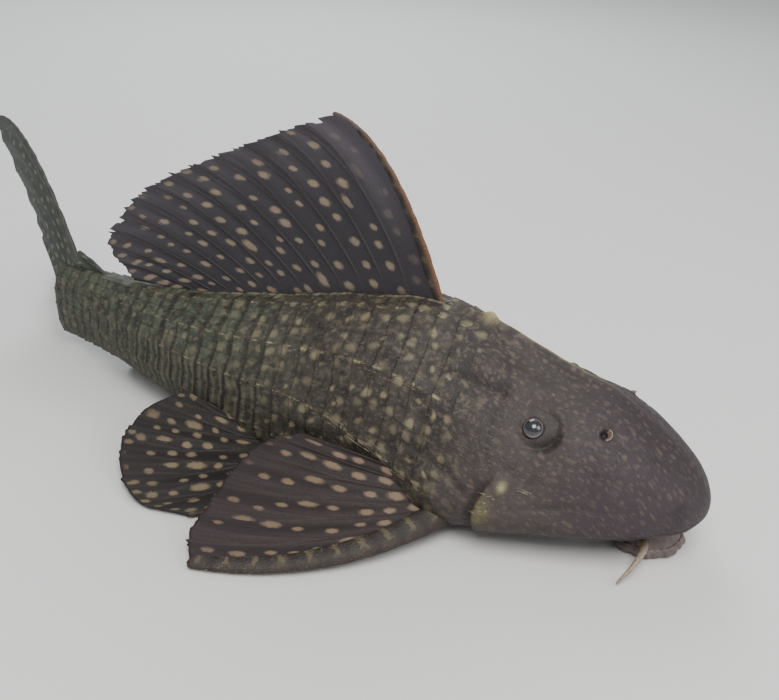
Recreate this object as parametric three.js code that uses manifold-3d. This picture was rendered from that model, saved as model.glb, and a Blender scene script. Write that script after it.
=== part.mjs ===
// Sailfin pleco resting on the bottom, life size, in millimetres.
// +X runs toward the head along the trunk, +Y is the fish's left and +Z is up.
// The origin is on the flat of the belly, below the front of the dorsal fin.
import * as THREE from 'three';
import { mergeVertices } from 'three/addons/utils/BufferGeometryUtils.js';
import Module from 'manifold-3d';

const wasm = await Module();
wasm.setup();

// Driving dimensions. Places along the fish are stations, counted from the snout tip back along
// its middle line to the root of the caudal fin; widths and heights use the same unit.
const STANDARD_LENGTH = 270;
const TAIL_STATION = 96.5;
const UNIT = STANDARD_LENGTH / TAIL_STATION;
const ORIGIN_STATION = 38.5;
const GAP = 0.3;
const FLOOR = 0;
const MEMBRANE_HALF = 0.32;
const EYE_RADIUS = 3.9;

// Heading of the middle line at a few stations, in degrees: the trunk is straight and the tail
// swings to the fish's left.
const HEADINGS = [
  { s: 0, turn: 1.6 },
  { s: 28, turn: 1.6 },
  { s: 50, turn: 0 },
  { s: 73, turn: 3 },
  { s: 87, turn: 9 },
  { s: TAIL_STATION, turn: 17 },
];

// Cross-sections: half width, back, belly, height of the widest point, and how square the
// section is above and below that point (2 is an ellipse, less is a ridge).
const SECTIONS = [
  { s: 0, half: 0, top: 6.4, low: 6.4, wide: 6.4, above: 2.1, below: 2.2 },
  { s: 2, half: 4.8, top: 10.6, low: 4, wide: 6.2, above: 2.1, below: 2.1 },
  { s: 5, half: 7.1, top: 13.2, low: 2.8, wide: 6, above: 2.05, below: 2 },
  { s: 8.5, half: 9.5, top: 15.9, low: 2.2, wide: 5.9, above: 1.8, below: 2 },
  { s: 13.5, half: 11.5, top: 18.5, low: 1.6, wide: 5.9, above: 1.55, below: 2.1 },
  { s: 18.5, half: 12.9, top: 19.8, low: 1, wide: 6, above: 1.42, below: 2.2 },
  { s: 23.5, half: 13.7, top: 21.3, low: 0.2, wide: 6.1, above: 1.38, below: 2.5 },
  { s: 29.5, half: 13.8, top: 23.3, low: -0.6, wide: 6.3, above: 1.45, below: 3 },
  { s: 36.5, half: 12.6, top: 24.1, low: -1, wide: 6.5, above: 1.7, below: 3.2 },
  { s: 43.5, half: 11.6, top: 22.9, low: -1, wide: 6.7, above: 1.95, below: 3.2 },
  { s: 53.5, half: 10.3, top: 20.6, low: -0.9, wide: 7, above: 2, below: 3 },
  { s: 61.5, half: 9.2, top: 18.6, low: -0.3, wide: 7.3, above: 2.05, below: 2.8 },
  { s: 70.5, half: 7.2, top: 16.6, low: 1, wide: 7.8, above: 2.1, below: 2.4 },
  { s: 78.5, half: 5.3, top: 15.4, low: 2.2, wide: 8.3, above: 2.1, below: 2.2 },
  { s: 86, half: 3.6, top: 14.6, low: 2.7, wide: 8.4, above: 2.1, below: 2.2 },
  { s: 92, half: 2.5, top: 13.8, low: 2.4, wide: 8.2, above: 2.1, below: 2.2 },
  { s: TAIL_STATION, half: 1.8, top: 13, low: 1.8, wide: 8, above: 2.1, below: 2.2 },
];

// Bony forms of the head: the crest behind the skull, the ridge from the eye down the snout, the
// swollen cheek and the gill slit behind it. Degrees count up from the widest point of the side.
const CREST = { s: 27, length: 2.6, height: 1.3, spread: 13 };
const CANTHUS = { s: 12, length: 6, height: 0.9, degrees: 48, spread: 12 };
const CHEEK = { s: 22, length: 2.8, height: 1.2, degrees: -14, spread: 26 };
const GILL = { s: 25.6, length: 0.9, depth: 3, degrees: -24, spread: 30 };

// Armour of the trunk: rings of plates, each plate raised at its rear edge, keeled along its
// middle and drawn out to a point at the keel.
const PLATES = {
  front: 10,
  rear: 10,
  tail: 9,
  lift: 0.75,
  edgeShare: 0.7,
  keel: 0.55,
  point: 0.35,
  edge: 0.07,
  tailShare: 0.5,
};

const SKIN = 0x5f584b;
const FIN = 0x26222a;
const SPINE = 0x6e5138;

// Cubic interpolation of one field of a list of stations. The stations are spaced by the square
// root of their distance from the snout, which rounds the snout off.
function interpolate(list, field, s) {
  const place = (k) => Math.sqrt(list[k].s);
  const q = Math.sqrt(Math.max(s, 0));
  let k = 0;
  while (k < list.length - 2 && q > place(k + 1)) k += 1;
  const slope = (i) => {
    const a = Math.max(i - 1, 0);
    const b = Math.min(i + 1, list.length - 1);
    return (list[b][field] - list[a][field]) / (place(b) - place(a));
  };
  const width = place(k + 1) - place(k);
  const t = (q - place(k)) / width;
  const h = (1 - t) ** 2;
  return list[k][field] * h * (1 + 2 * t)
    + list[k + 1][field] * t * t * (3 - 2 * t)
    + slope(k) * width * t * h
    - slope(k + 1) * width * t * t * (1 - t);
}

function turnAt(s) {
  let k = 0;
  while (k < HEADINGS.length - 2 && s > HEADINGS[k + 1].s) k += 1;
  const t = THREE.MathUtils.clamp((s - HEADINGS[k].s) / (HEADINGS[k + 1].s - HEADINGS[k].s), 0, 1);
  const eased = t * t * (3 - 2 * t);
  return THREE.MathUtils.degToRad(THREE.MathUtils.lerp(HEADINGS[k].turn, HEADINGS[k + 1].turn, eased));
}

// Middle line seen from above, worked out once in short steps from the origin both ways.
const AXIS_STEP = 0.5;
const AXIS = [];
for (let s = 0; s <= TAIL_STATION; s += AXIS_STEP) AXIS.push(new THREE.Vector2());
const originIndex = ORIGIN_STATION / AXIS_STEP;
for (let k = originIndex + 1; k < AXIS.length; k += 1) {
  const turn = turnAt((k - 0.5) * AXIS_STEP);
  AXIS[k].set(-Math.cos(turn), Math.sin(turn)).multiplyScalar(AXIS_STEP * UNIT).add(AXIS[k - 1]);
}
for (let k = originIndex - 1; k >= 0; k -= 1) {
  const turn = turnAt((k + 0.5) * AXIS_STEP);
  AXIS[k].set(Math.cos(turn), -Math.sin(turn)).multiplyScalar(AXIS_STEP * UNIT).add(AXIS[k + 1]);
}

// Point beside the middle line: across is to the fish's left, up is the height, both in millimetres.
function besideAxis(s, across, up) {
  const place = THREE.MathUtils.clamp(s / AXIS_STEP, 0, AXIS.length - 1);
  const k = Math.min(Math.floor(place), AXIS.length - 2);
  const on = AXIS[k].clone().lerp(AXIS[k + 1], place - k);
  const turn = turnAt(s);
  return new THREE.Vector3(on.x + across * Math.sin(turn), on.y + across * Math.cos(turn), up);
}

function signedPower(value, power) {
  return Math.sign(value) * Math.abs(value) ** power;
}

// Smooth hump of height 1 at its centre, that dies away over about its width.
function hump(value, centre, width) {
  return Math.exp(-(((value - centre) / width) ** 2));
}

// Height in millimetres of the bony forms of the head and nape over the plain section.
function boneRelief(s, degrees) {
  const side = Math.abs(90 - degrees) > 180 ? 0 : 90 - Math.abs(90 - degrees);
  const crest = CREST.height * hump(degrees, 90, CREST.spread) * hump(s, CREST.s, CREST.length);
  const snoutRidge = CANTHUS.height * hump(side, CANTHUS.degrees, CANTHUS.spread)
    * hump(s, CANTHUS.s, CANTHUS.length);
  const cheek = CHEEK.height * hump(side, CHEEK.degrees, CHEEK.spread) * hump(s, CHEEK.s, CHEEK.length);
  const gill = GILL.depth * hump(side, GILL.degrees, GILL.spread) * hump(s, GILL.s, GILL.length);
  return crest + snoutRidge + cheek - gill;
}

// Point on the body at a station and an angle round the section: 90 is the back, 0 the fish's
// left, 180 its right. It stands proud by relief, and grow swells the whole body, in millimetres.
function bodyPoint(s, degrees, grow = 0, relief = 0) {
  const angle = THREE.MathUtils.degToRad(degrees);
  const upper = Math.sin(angle) >= 0;
  const power = 2 / interpolate(SECTIONS, upper ? 'above' : 'below', s);
  const out = relief + boneRelief(s, degrees) + grow;
  const half = interpolate(SECTIONS, 'half', s) * UNIT + out;
  const wide = interpolate(SECTIONS, 'wide', s) * UNIT;
  const top = interpolate(SECTIONS, 'top', s) * UNIT + out;
  const low = interpolate(SECTIONS, 'low', s) * UNIT - out;
  const across = half * signedPower(Math.cos(angle), power);
  const up = wide + (upper ? top - wide : wide - low) * signedPower(Math.sin(angle), power);
  return besideAxis(s, across, Math.max(up, FLOOR - grow));
}

// Closed surface through rings of points, each ring listed the same way round. A ring of one
// point is a tip.
function loft(rings) {
  const positions = [];
  const starts = rings.map((ring) => {
    const start = positions.length / 3;
    ring.forEach((point) => positions.push(point.x, point.y, point.z));
    return start;
  });
  const index = [];
  for (let r = 0; r < rings.length - 1; r += 1) {
    const count = Math.max(rings[r].length, rings[r + 1].length);
    for (let c = 0; c < count; c += 1) {
      const at = (ring, column) => starts[ring] + (rings[ring].length === 1 ? 0 : column % count);
      if (rings[r].length > 1) index.push(at(r, c), at(r, c + 1), at(r + 1, c));
      if (rings[r + 1].length > 1) index.push(at(r, c + 1), at(r + 1, c + 1), at(r + 1, c));
    }
  }
  [0, rings.length - 1].forEach((r) => {
    if (rings[r].length === 1) return;
    const middle = positions.length / 3;
    const centre = new THREE.Vector3();
    rings[r].forEach((point) => centre.add(point));
    centre.divideScalar(rings[r].length);
    positions.push(centre.x, centre.y, centre.z);
    rings[r].forEach((_, c) => {
      const next = (c + 1) % rings[r].length;
      if (r === 0) index.push(middle, starts[r] + next, starts[r] + c);
      else index.push(middle, starts[r] + c, starts[r] + next);
    });
  });
  return outward(positions, index);
}

// Geometry whose faces point out, whichever way its triangles were listed.
function outward(positions, index) {
  const corner = (i) => new THREE.Vector3().fromArray(positions, 3 * index[i]);
  let volume = 0;
  for (let i = 0; i < index.length; i += 3) volume += corner(i).dot(corner(i + 1).cross(corner(i + 2)));
  if (volume < 0) index.reverse();
  const geometry = new THREE.BufferGeometry();
  geometry.setAttribute('position', new THREE.Float32BufferAttribute(positions, 3));
  geometry.setIndex(index);
  return geometry;
}

function toSolid(geometry) {
  const bare = geometry.clone();
  bare.deleteAttribute('normal');
  bare.deleteAttribute('uv');
  const merged = mergeVertices(bare, 1e-4);
  return new wasm.Manifold(new wasm.Mesh({
    numProp: 3,
    vertProperties: new Float32Array(merged.attributes.position.array),
    triVerts: new Uint32Array(merged.index.array),
  }));
}

// Largest closed piece of a solid, as a geometry.
function toGeometry(solid) {
  const pieces = solid.decompose().sort((a, b) => b.volume() - a.volume());
  const mesh = pieces[0].getMesh();
  const geometry = new THREE.BufferGeometry();
  geometry.setAttribute('position', new THREE.Float32BufferAttribute(mesh.vertProperties, 3));
  geometry.setIndex(new THREE.Uint32BufferAttribute(mesh.triVerts, 1));
  return geometry;
}

function material(color, roughness = 0.6) {
  return new THREE.MeshStandardMaterial({ color, roughness, metalness: 0 });
}

const fish = new THREE.Group();

function addNode(name, geometry, finish) {
  const mesh = new THREE.Mesh(geometry, finish);
  mesh.name = name;
  fish.add(mesh);
  return mesh;
}

// Body
const COLUMN_ANGLES = [90, 78, 66, 54, 42, 30, 18, 6, -6, -20, -36, -54, -72];
const RING_ANGLES = [
  ...COLUMN_ANGLES,
  -90,
  ...COLUMN_ANGLES.slice(1).reverse().map((degrees) => 180 - degrees),
];

function bodyRing(s, grow = 0) {
  return RING_ANGLES.map((degrees) => bodyPoint(s, degrees, grow));
}

const HEAD_END = 26.1;
const PLATE_PITCH = (TAIL_STATION - HEAD_END) / (PLATES.front + PLATES.rear + PLATES.tail);
const FRONT_END = HEAD_END + PLATES.front * PLATE_PITCH;
const REAR_END = FRONT_END + PLATES.rear * PLATE_PITCH;
const HALF_CUT = GAP / 2 / UNIT;

// Ring of the armoured trunk. Columns of the section are by turns the edge and the keel of a row
// of plates, down to the belly. Swing moves a keel tailward and an edge headward; lift raises all.
const LAST_ARMOURED_COLUMN = 10;

function plateRing(s, swing, lift, grow) {
  return RING_ANGLES.map((degrees, column) => {
    const rank = Math.min(column, RING_ANGLES.length - column);
    if (rank > LAST_ARMOURED_COLUMN) return bodyPoint(s, degrees, grow);
    const keel = rank % 2 === 1;
    const size = THREE.MathUtils.mapLinear(s, HEAD_END, TAIL_STATION, 1, PLATES.tailShare);
    const relief = size * (keel ? lift + PLATES.keel : lift * PLATES.edgeShare);
    return bodyPoint(s + (keel ? swing : -swing), degrees, grow, relief);
  });
}

// Rings of a length of trunk: for each plate a low front ring and a raised rear one. The cut ends
// of the length are flat.
function plateRings(from, count, startTrim, endTrim, grow = 0) {
  const rings = [];
  for (let k = 0; k < count; k += 1) {
    const frontSwing = k === 0 ? 0 : PLATES.point;
    const rearSwing = k === count - 1 ? 0 : PLATES.point;
    const front = from + k * PLATE_PITCH + (k === 0 ? startTrim : PLATES.edge);
    const rear = from + (k + 1) * PLATE_PITCH - (k === count - 1 ? endTrim : PLATES.edge);
    rings.push(plateRing(front, frontSwing, 0, grow));
    rings.push(plateRing(rear, rearSwing, PLATES.lift, grow));
  }
  return rings;
}

function stations(from, to, count) {
  return Array.from({ length: count + 1 }, (_, k) => from + (to - from) * k / count);
}

// The head's rings crowd toward the snout, where the outline turns fastest, and at the gill slit.
const HEAD_RINGS = [
  ...stations(0, Math.sqrt(GILL.s - 2 * GILL.length), 21).slice(1).map((root) => root * root),
  GILL.s - GILL.length,
  GILL.s - 0.3 * GILL.length,
];

function headRings(grow = 0) {
  return HEAD_RINGS.map((s) => bodyRing(s, grow));
}

// Direction of the middle line toward the tail.
function tailward(s) {
  return new THREE.Vector3(-Math.cos(turnAt(s)), Math.sin(turnAt(s)), 0);
}

// The whole body a little swollen, which cuts the roots of fins and barbels clear of it.
const pastTail = tailward(TAIL_STATION).multiplyScalar(GAP);
const grownBody = toSolid(loft([
  [bodyPoint(0, 90, 0).add(new THREE.Vector3(GAP, 0, 0))],
  ...headRings(GAP),
  ...plateRings(HEAD_END, PLATES.front, 0, PLATES.edge, GAP),
  ...plateRings(FRONT_END, PLATES.rear, PLATES.edge, PLATES.edge, GAP),
  ...plateRings(REAR_END, PLATES.tail, PLATES.edge, 0, GAP),
  plateRing(TAIL_STATION, 0, PLATES.lift, GAP).map((point) => point.add(pastTail)),
]));

function cutByBody(geometry) {
  return toGeometry(toSolid(geometry).subtract(grownBody));
}

// Eyes
const EYE = { s: 19.8, across: 7.7, up: 15.2 };
const SIDES = [
  { name: 'right', sign: -1 },
  { name: 'left', sign: 1 },
];

function eyeCentre(sign) {
  return besideAxis(EYE.s, sign * EYE.across * UNIT, EYE.up * UNIT);
}

function ball(radius, centre, columns = 20, rows = 12) {
  const geometry = new THREE.SphereGeometry(radius, columns, rows);
  geometry.translate(centre.x, centre.y, centre.z);
  return geometry;
}

// Ring of round section lying on the head at a place, facing straight out of the skin there.
function rimOn(s, degrees, radius, thickness, sunk, sides) {
  const at = bodyPoint(s, degrees);
  const along = bodyPoint(s + 0.5, degrees).sub(bodyPoint(s - 0.5, degrees));
  const around = bodyPoint(s, degrees + 4).sub(bodyPoint(s, degrees - 4));
  const out = along.cross(around).normalize();
  if (out.z < 0) out.negate();
  const rim = new THREE.TorusGeometry(radius, thickness, 8, sides);
  rim.applyQuaternion(new THREE.Quaternion().setFromUnitVectors(new THREE.Vector3(0, 0, 1), out));
  const centre = at.addScaledVector(out, -sunk);
  rim.translate(centre.x, centre.y, centre.z);
  return { rim, centre, out };
}

const ORBIT = { s: 19.6, degrees: 46, radius: 5.6, thickness: 1.9, sunk: 0.9 };
const NOSTRIL = { s: 11.5, degrees: 50, radius: 1.8, thickness: 0.75, sunk: 0.2 };

let head = toSolid(loft([[bodyPoint(0, 90)], ...headRings(), bodyRing(HEAD_END - HALF_CUT)]));
SIDES.forEach(({ name, sign }) => {
  const mirrored = (degrees) => (sign > 0 ? degrees : 180 - degrees);
  const orbit = rimOn(ORBIT.s, mirrored(ORBIT.degrees), ORBIT.radius, ORBIT.thickness, ORBIT.sunk, 18);
  const nostril = rimOn(
    NOSTRIL.s,
    mirrored(NOSTRIL.degrees),
    NOSTRIL.radius,
    NOSTRIL.thickness,
    NOSTRIL.sunk,
    10,
  );
  head = head.add(toSolid(orbit.rim)).add(toSolid(nostril.rim));
  head = head.subtract(toSolid(ball(NOSTRIL.radius - 0.2, nostril.centre, 10, 6)));
  head = head.subtract(toSolid(ball(EYE_RADIUS + GAP, eyeCentre(sign))));
  const eye = addNode(`eye_${name}`, new THREE.SphereGeometry(EYE_RADIUS, 16, 10), material(0x2b2a2c, 0.15));
  eye.position.copy(eyeCentre(sign));
});
addNode('head', toGeometry(head), material(SKIN));

// The stub of bone that locks the dorsal spine stands in front of it on the nape.
const SPINELET = { s: 33.8, up: 23.6, length: 2.8, width: 1.8, height: 2.2 };
const spinelet = new THREE.SphereGeometry(1, 12, 8);
spinelet.scale(SPINELET.length, SPINELET.width, SPINELET.height);
const spineletFoot = besideAxis(SPINELET.s, 0, SPINELET.up * UNIT);
spinelet.translate(spineletFoot.x, spineletFoot.y, spineletFoot.z);
const front = toSolid(loft(plateRings(HEAD_END, PLATES.front, HALF_CUT, HALF_CUT)));
addNode('torso_front', toGeometry(front.add(toSolid(spinelet))), material(SKIN));
addNode('torso_rear', loft(plateRings(FRONT_END, PLATES.rear, HALF_CUT, HALF_CUT)), material(SKIN));
addNode('tail', loft(plateRings(REAR_END, PLATES.tail, HALF_CUT, 0)), material(SKIN));

// Sucker mouth: a round lip disc with the mouth sunk in its middle, its rim flat on the floor.
const LIP = { s: 6.6, radius: 4.9, height: 4.2 };

function lipDisc() {
  const profile = [
    [0, 1.5], [0.28, 1.3], [0.42, 0.6], [0.56, 0.1], [0.66, 0], [0.92, 0],
    [1, 0.35], [0.98, 0.8], [0.9, 1.3], [0.86, 2], [0.86, LIP.height], [0, LIP.height],
  ];
  const points = profile.map(([out, up]) => new THREE.Vector2(out * LIP.radius, up).multiplyScalar(UNIT));
  const disc = new THREE.LatheGeometry(points, 24);
  disc.rotateX(Math.PI / 2);
  const centre = besideAxis(LIP.s, 0, 0);
  disc.translate(centre.x, centre.y, FLOOR);
  return disc;
}
addNode('lip_disc', cutByBody(lipDisc()), material(0x8a7a6a));

// Fins. A fin is a closed sheet ruled by its rays: each ray leaves a point of the root line,
// bends past a control point and ends on the tip line. Its place across the fin is u, from the
// leading spine at 0 to the last ray at 1, and its place along the ray is v. A column is the crest
// of a ray or lies on the membrane, which stops short of the tips of the rays by the notch.
function finSheet({ root, bend, tip, half, columns, rows, notch }) {
  const grid = columns.map(({ u, crest }) => {
    const ruling = new THREE.QuadraticBezierCurve3(root(u), bend(u), tip(u));
    return stations(0, crest ? 1 : 1 - notch, rows).map((v) => ruling.getPoint(v));
  });
  const last = { column: columns.length - 1, row: rows };
  const normalAt = (i, j) => {
    const across = grid[Math.min(i + 1, last.column)][j].clone().sub(grid[Math.max(i - 1, 0)][j]);
    const along = grid[i][Math.min(j + 1, last.row)].clone().sub(grid[i][Math.max(j - 1, 0)]);
    return across.cross(along).normalize();
  };
  const positions = [];
  [1, -1].forEach((face) => {
    grid.forEach((ray, i) => ray.forEach((point, j) => {
      const offset = normalAt(i, j).multiplyScalar(face * half(columns[i], j / rows));
      const corner = point.clone().add(offset);
      positions.push(corner.x, corner.y, Math.max(corner.z, FLOOR));
    }));
  });
  const perFace = columns.length * (rows + 1);
  const at = (face, i, j) => face * perFace + i * (rows + 1) + j;
  const index = [];
  const quad = (a, b, c, d) => index.push(a, b, c, a, c, d);
  for (let i = 0; i < last.column; i += 1) {
    for (let j = 0; j < rows; j += 1) {
      quad(at(0, i, j), at(0, i + 1, j), at(0, i + 1, j + 1), at(0, i, j + 1));
      index.push(at(1, i, j), at(1, i + 1, j + 1), at(1, i + 1, j));
      index.push(at(1, i, j), at(1, i, j + 1), at(1, i + 1, j + 1));
    }
    quad(at(0, i + 1, 0), at(0, i, 0), at(1, i, 0), at(1, i + 1, 0));
    quad(at(0, i, rows), at(0, i + 1, rows), at(1, i + 1, rows), at(1, i, rows));
  }
  for (let j = 0; j < rows; j += 1) {
    quad(at(0, 0, j), at(0, 0, j + 1), at(1, 0, j + 1), at(1, 0, j));
    quad(at(0, last.column, j + 1), at(0, last.column, j), at(1, last.column, j), at(1, last.column, j + 1));
  }
  return outward(positions, index);
}

// Smooth line through points, read by u from 0 to 1.
function lineThrough(points) {
  const curve = new THREE.CatmullRomCurve3(points, false, 'centripetal');
  return (u) => curve.getPoint(u);
}

// Control point of a ray, bowed away from the straight middle between root and tip.
function bowed(root, tip, bow) {
  return (u) => root(u).add(tip(u)).multiplyScalar(0.5).add(bow(u));
}

// Half thickness: a stout leading spine that tapers to its tip, then thin membrane between raised
// rays.
function spineAndMembrane(spineHalf, rayHalf) {
  return ({ spine, crest }, v) => {
    if (spine) return Math.max(spineHalf * THREE.MathUtils.lerp(1, 0.3, v), MEMBRANE_HALF);
    if (crest) return THREE.MathUtils.lerp(rayHalf, MEMBRANE_HALF * 1.5, v);
    return THREE.MathUtils.lerp(MEMBRANE_HALF * 1.3, MEMBRANE_HALF * 0.8, v);
  };
}

// Columns of a fin: the leading spine, then each ray as a crest between two columns of membrane.
// The width of a ray is its share of the space between two rays.
function spineAndRays(spineEnd, rays, rayShare) {
  const columns = [{ u: 0, crest: true }, { u: spineEnd / 2, crest: true, spine: true }, { u: spineEnd }];
  const pitch = (1 - spineEnd) / rays;
  const side = pitch * rayShare / 2;
  for (let k = 1; k <= rays; k += 1) {
    const u = k === rays ? 1 - side : spineEnd + k * pitch;
    columns.push({ u: u - side }, { u, crest: true }, { u: u + side });
  }
  return columns;
}

// Dorsal fin, upright on the back. It stays flat behind its own base while the tail bends away.
const DORSAL = {
  baseEnd: 70.5,
  sunk: 2.2,
  rays: 12,
  spineHalf: 2.1,
  spineWidth: 0.036,
  rayHalf: 1,
  rayShare: 0.26,
  notch: 0.035,
};

function aboveBack(s, up) {
  const beyond = Math.max(s - DORSAL.baseEnd, 0) * UNIT;
  const foot = besideAxis(Math.min(s, DORSAL.baseEnd), 0, up * UNIT);
  return foot.add(tailward(DORSAL.baseEnd).multiplyScalar(beyond));
}

function dorsalFin() {
  const rootAt = (s, up) => aboveBack(s, up - DORSAL.sunk);
  const root = lineThrough([
    rootAt(34.8, 24.2), rootAt(44.5, 22.7), rootAt(53.5, 20.6), rootAt(62.5, 18.4),
    rootAt(DORSAL.baseEnd, 16.3),
  ]);
  const tip = lineThrough([
    aboveBack(50.1, 44.2), aboveBack(58.5, 40.4), aboveBack(67.4, 35.8), aboveBack(75.2, 31.6),
    aboveBack(81.8, 26.2), aboveBack(85.4, 20), aboveBack(81, 15.4),
  ]);
  const frontBow = new THREE.Vector3(0.5, 0, 9.2).multiplyScalar(UNIT);
  const backBow = new THREE.Vector3(0.8, 0, 0.8).multiplyScalar(UNIT);
  const bow = (u) => frontBow.clone().lerp(backBow, u ** 0.7);
  return finSheet({
    root,
    tip,
    bend: bowed(root, tip, bow),
    half: spineAndMembrane(DORSAL.spineHalf, DORSAL.rayHalf),
    columns: spineAndRays(DORSAL.spineWidth, DORSAL.rays, DORSAL.rayShare),
    rows: 9,
    notch: DORSAL.notch,
  });
}
addNode('dorsal_fin', cutByBody(dorsalFin()), material(FIN));

// Small adipose fin: a short spine and the web behind it.
const ADIPOSE_SPINE_HALF = 1.3;

function adiposeFin() {
  const root = lineThrough([85.6, 87.2, 88.8, 90.2].map((s) => besideAxis(s, 0, 12.8 * UNIT)));
  const tip = lineThrough([
    besideAxis(91.4, 0, 16.6 * UNIT), besideAxis(91.5, 0, 15.9 * UNIT),
    besideAxis(91.6, 0, 15 * UNIT), besideAxis(91.7, 0, 14.2 * UNIT),
  ]);
  const bow = () => new THREE.Vector3(0.4, 0, 0.6).multiplyScalar(UNIT);
  return finSheet({
    root,
    tip,
    bend: bowed(root, tip, bow),
    half: spineAndMembrane(ADIPOSE_SPINE_HALF, MEMBRANE_HALF),
    columns: [{ u: 0 }, { u: 0.2, spine: true }, { u: 0.45 }, { u: 1 }],
    rows: 5,
    notch: 0,
  });
}
addNode('adipose_fin', cutByBody(adiposeFin()), material(SPINE));

// Caudal fin. Its rays fan between the long upper and lower lobes, the lower one along the
// floor, and swing to the left, the upper lobe less than the lower. The topmost rays rise from the
// back of the tail ahead of its end and arch up.
const CAUDAL = {
  rays: 14,
  sunkTop: 5,
  sunkLow: 0.6,
  rootTop: 12.6,
  rootLow: 2.5,
  upperLength: 36.5,
  middleLength: 12.5,
  lowerLength: 30,
  fork: 2.2,
  upperRise: 24,
  lowerRise: -3,
  upperTurn: 28.4,
  lowerTurn: 47,
  arch: 16,
  edgeWidth: 0.07,
  edgeHalf: 1.7,
  rayHalf: 1.1,
  rayShare: 0.4,
  notch: 0.05,
};

function caudalFin() {
  const startTurn = turnAt(TAIL_STATION);
  const root = (u) => besideAxis(
    TAIL_STATION - THREE.MathUtils.lerp(CAUDAL.sunkTop, CAUDAL.sunkLow, Math.min(3 * u, 1)),
    0,
    THREE.MathUtils.lerp(CAUDAL.rootTop, CAUDAL.rootLow, u) * UNIT,
  );
  const reach = (u, share, turn) => {
    const lobe = u < 0.5 ? CAUDAL.upperLength : CAUDAL.lowerLength;
    const fork = THREE.MathUtils.smoothstep(2 * Math.abs(u - 0.5), 0, 1) ** CAUDAL.fork;
    const length = THREE.MathUtils.lerp(CAUDAL.middleLength, lobe, fork) * UNIT * share;
    const rise = THREE.MathUtils.degToRad(THREE.MathUtils.lerp(CAUDAL.upperRise, CAUDAL.lowerRise, u));
    const level = length * Math.cos(rise);
    return root(u).add(new THREE.Vector3(
      -level * Math.cos(turn),
      level * Math.sin(turn),
      length * Math.sin(rise),
    ));
  };
  const tipTurn = (u) => THREE.MathUtils.degToRad(
    THREE.MathUtils.lerp(CAUDAL.upperTurn, CAUDAL.lowerTurn, u),
  );
  const pitch = (1 - 2 * CAUDAL.edgeWidth) / CAUDAL.rays;
  const middleRays = Array.from({ length: CAUDAL.rays }, (_, k) => {
    const u = CAUDAL.edgeWidth + (k + 0.5) * pitch;
    const side = pitch * CAUDAL.rayShare / 2;
    return [{ u: u - side }, { u, crest: true }, { u: u + side }];
  }).flat();
  return finSheet({
    root,
    tip: (u) => reach(u, 1, tipTurn(u)),
    bend: (u) => {
      const control = reach(u, 0.5, THREE.MathUtils.lerp(startTurn, tipTurn(u), 0.75));
      control.z += CAUDAL.arch * Math.max(1 - 3 * u, 0) * UNIT;
      return control;
    },
    half: ({ edge, crest }, v) => {
      if (edge) return THREE.MathUtils.lerp(CAUDAL.edgeHalf, MEMBRANE_HALF * 1.8, v);
      if (crest) return THREE.MathUtils.lerp(CAUDAL.rayHalf, MEMBRANE_HALF * 1.5, v);
      return THREE.MathUtils.lerp(CAUDAL.rayHalf * 0.6, MEMBRANE_HALF, Math.min(2 * v, 1));
    },
    columns: [
      { u: 0, crest: true },
      { u: CAUDAL.edgeWidth / 2, crest: true, edge: true },
      { u: CAUDAL.edgeWidth },
      ...middleRays,
      { u: 1 - CAUDAL.edgeWidth },
      { u: 1 - CAUDAL.edgeWidth / 2, crest: true, edge: true },
      { u: 1, crest: true },
    ],
    rows: 8,
    notch: CAUDAL.notch,
  });
}
addNode('caudal_fin', cutByBody(caudalFin()), material(FIN));

// Anal fin, short, folded back under the tail and leaning to the left.
const ANAL = { spineHalf: 1.1, spineWidth: 0.16, rays: 4, rayHalf: 0.8, rayShare: 0.36, notch: 0.06 };

function analFin() {
  const root = lineThrough([
    besideAxis(75, 0, 2.8 * UNIT), besideAxis(76.5, 0, 3 * UNIT), besideAxis(78, 0, 3.2 * UNIT),
  ]);
  const tip = lineThrough([
    besideAxis(83, 3.2 * UNIT, 0.35 * UNIT), besideAxis(84.5, 1.8 * UNIT, 0.5 * UNIT),
    besideAxis(84, 0.4 * UNIT, 1 * UNIT),
  ]);
  const bow = () => new THREE.Vector3(0, 0, -0.5 * UNIT);
  return finSheet({
    root,
    tip,
    bend: bowed(root, tip, bow),
    half: spineAndMembrane(ANAL.spineHalf, ANAL.rayHalf),
    columns: spineAndRays(ANAL.spineWidth, ANAL.rays, ANAL.rayShare),
    rows: 6,
    notch: ANAL.notch,
  });
}
addNode('anal_fin', cutByBody(analFin()), material(FIN));

// Paired fins: points in per cent of the standard length, on the fish's right, with x forward of
// the origin and y out from the middle line. The left fins are the same the other way round.
function pairedPoint(sign, [x, y, z]) {
  return new THREE.Vector3(x, sign * y, z).multiplyScalar(UNIT);
}

const PECTORAL = {
  root: [[11.4, 11.4, 3], [10.6, 11.2, 4.2], [9, 11, 5.6]],
  tip: [
    [-12.8, 31, 0.6], [-15, 27.6, 1.6], [-15.2, 22.4, 3], [-14.8, 17.4, 4.8], [-12.8, 14, 7],
    [-8.5, 12.8, 8.8],
  ],
  bow: [[3.8, 6.2, -0.9], [0.6, 2.6, 2.6]],
  spineHalf: 3.9,
  rays: 6,
  notch: 0.025,
};
const PELVIC = {
  root: [[-7.6, 8, 1.8], [-8.8, 7.6, 2.4], [-10.4, 7.4, 3.2]],
  tip: [
    [-17.4, 23.8, 0.6], [-24.2, 24.6, 0.7], [-29, 21.6, 1.5], [-32.1, 16.8, 2.8], [-32.2, 12.8, 4.4],
    [-27.4, 9.5, 7.6],
  ],
  bow: [[2.2, 1.8, 0], [0, 1.8, 0.4]],
  spineHalf: 1.9,
  rays: 5,
  notch: 0.035,
};

const PAIRED = { spineWidth: 0.1, rayHalf: 1.1, rayShare: 0.2 };

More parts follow.
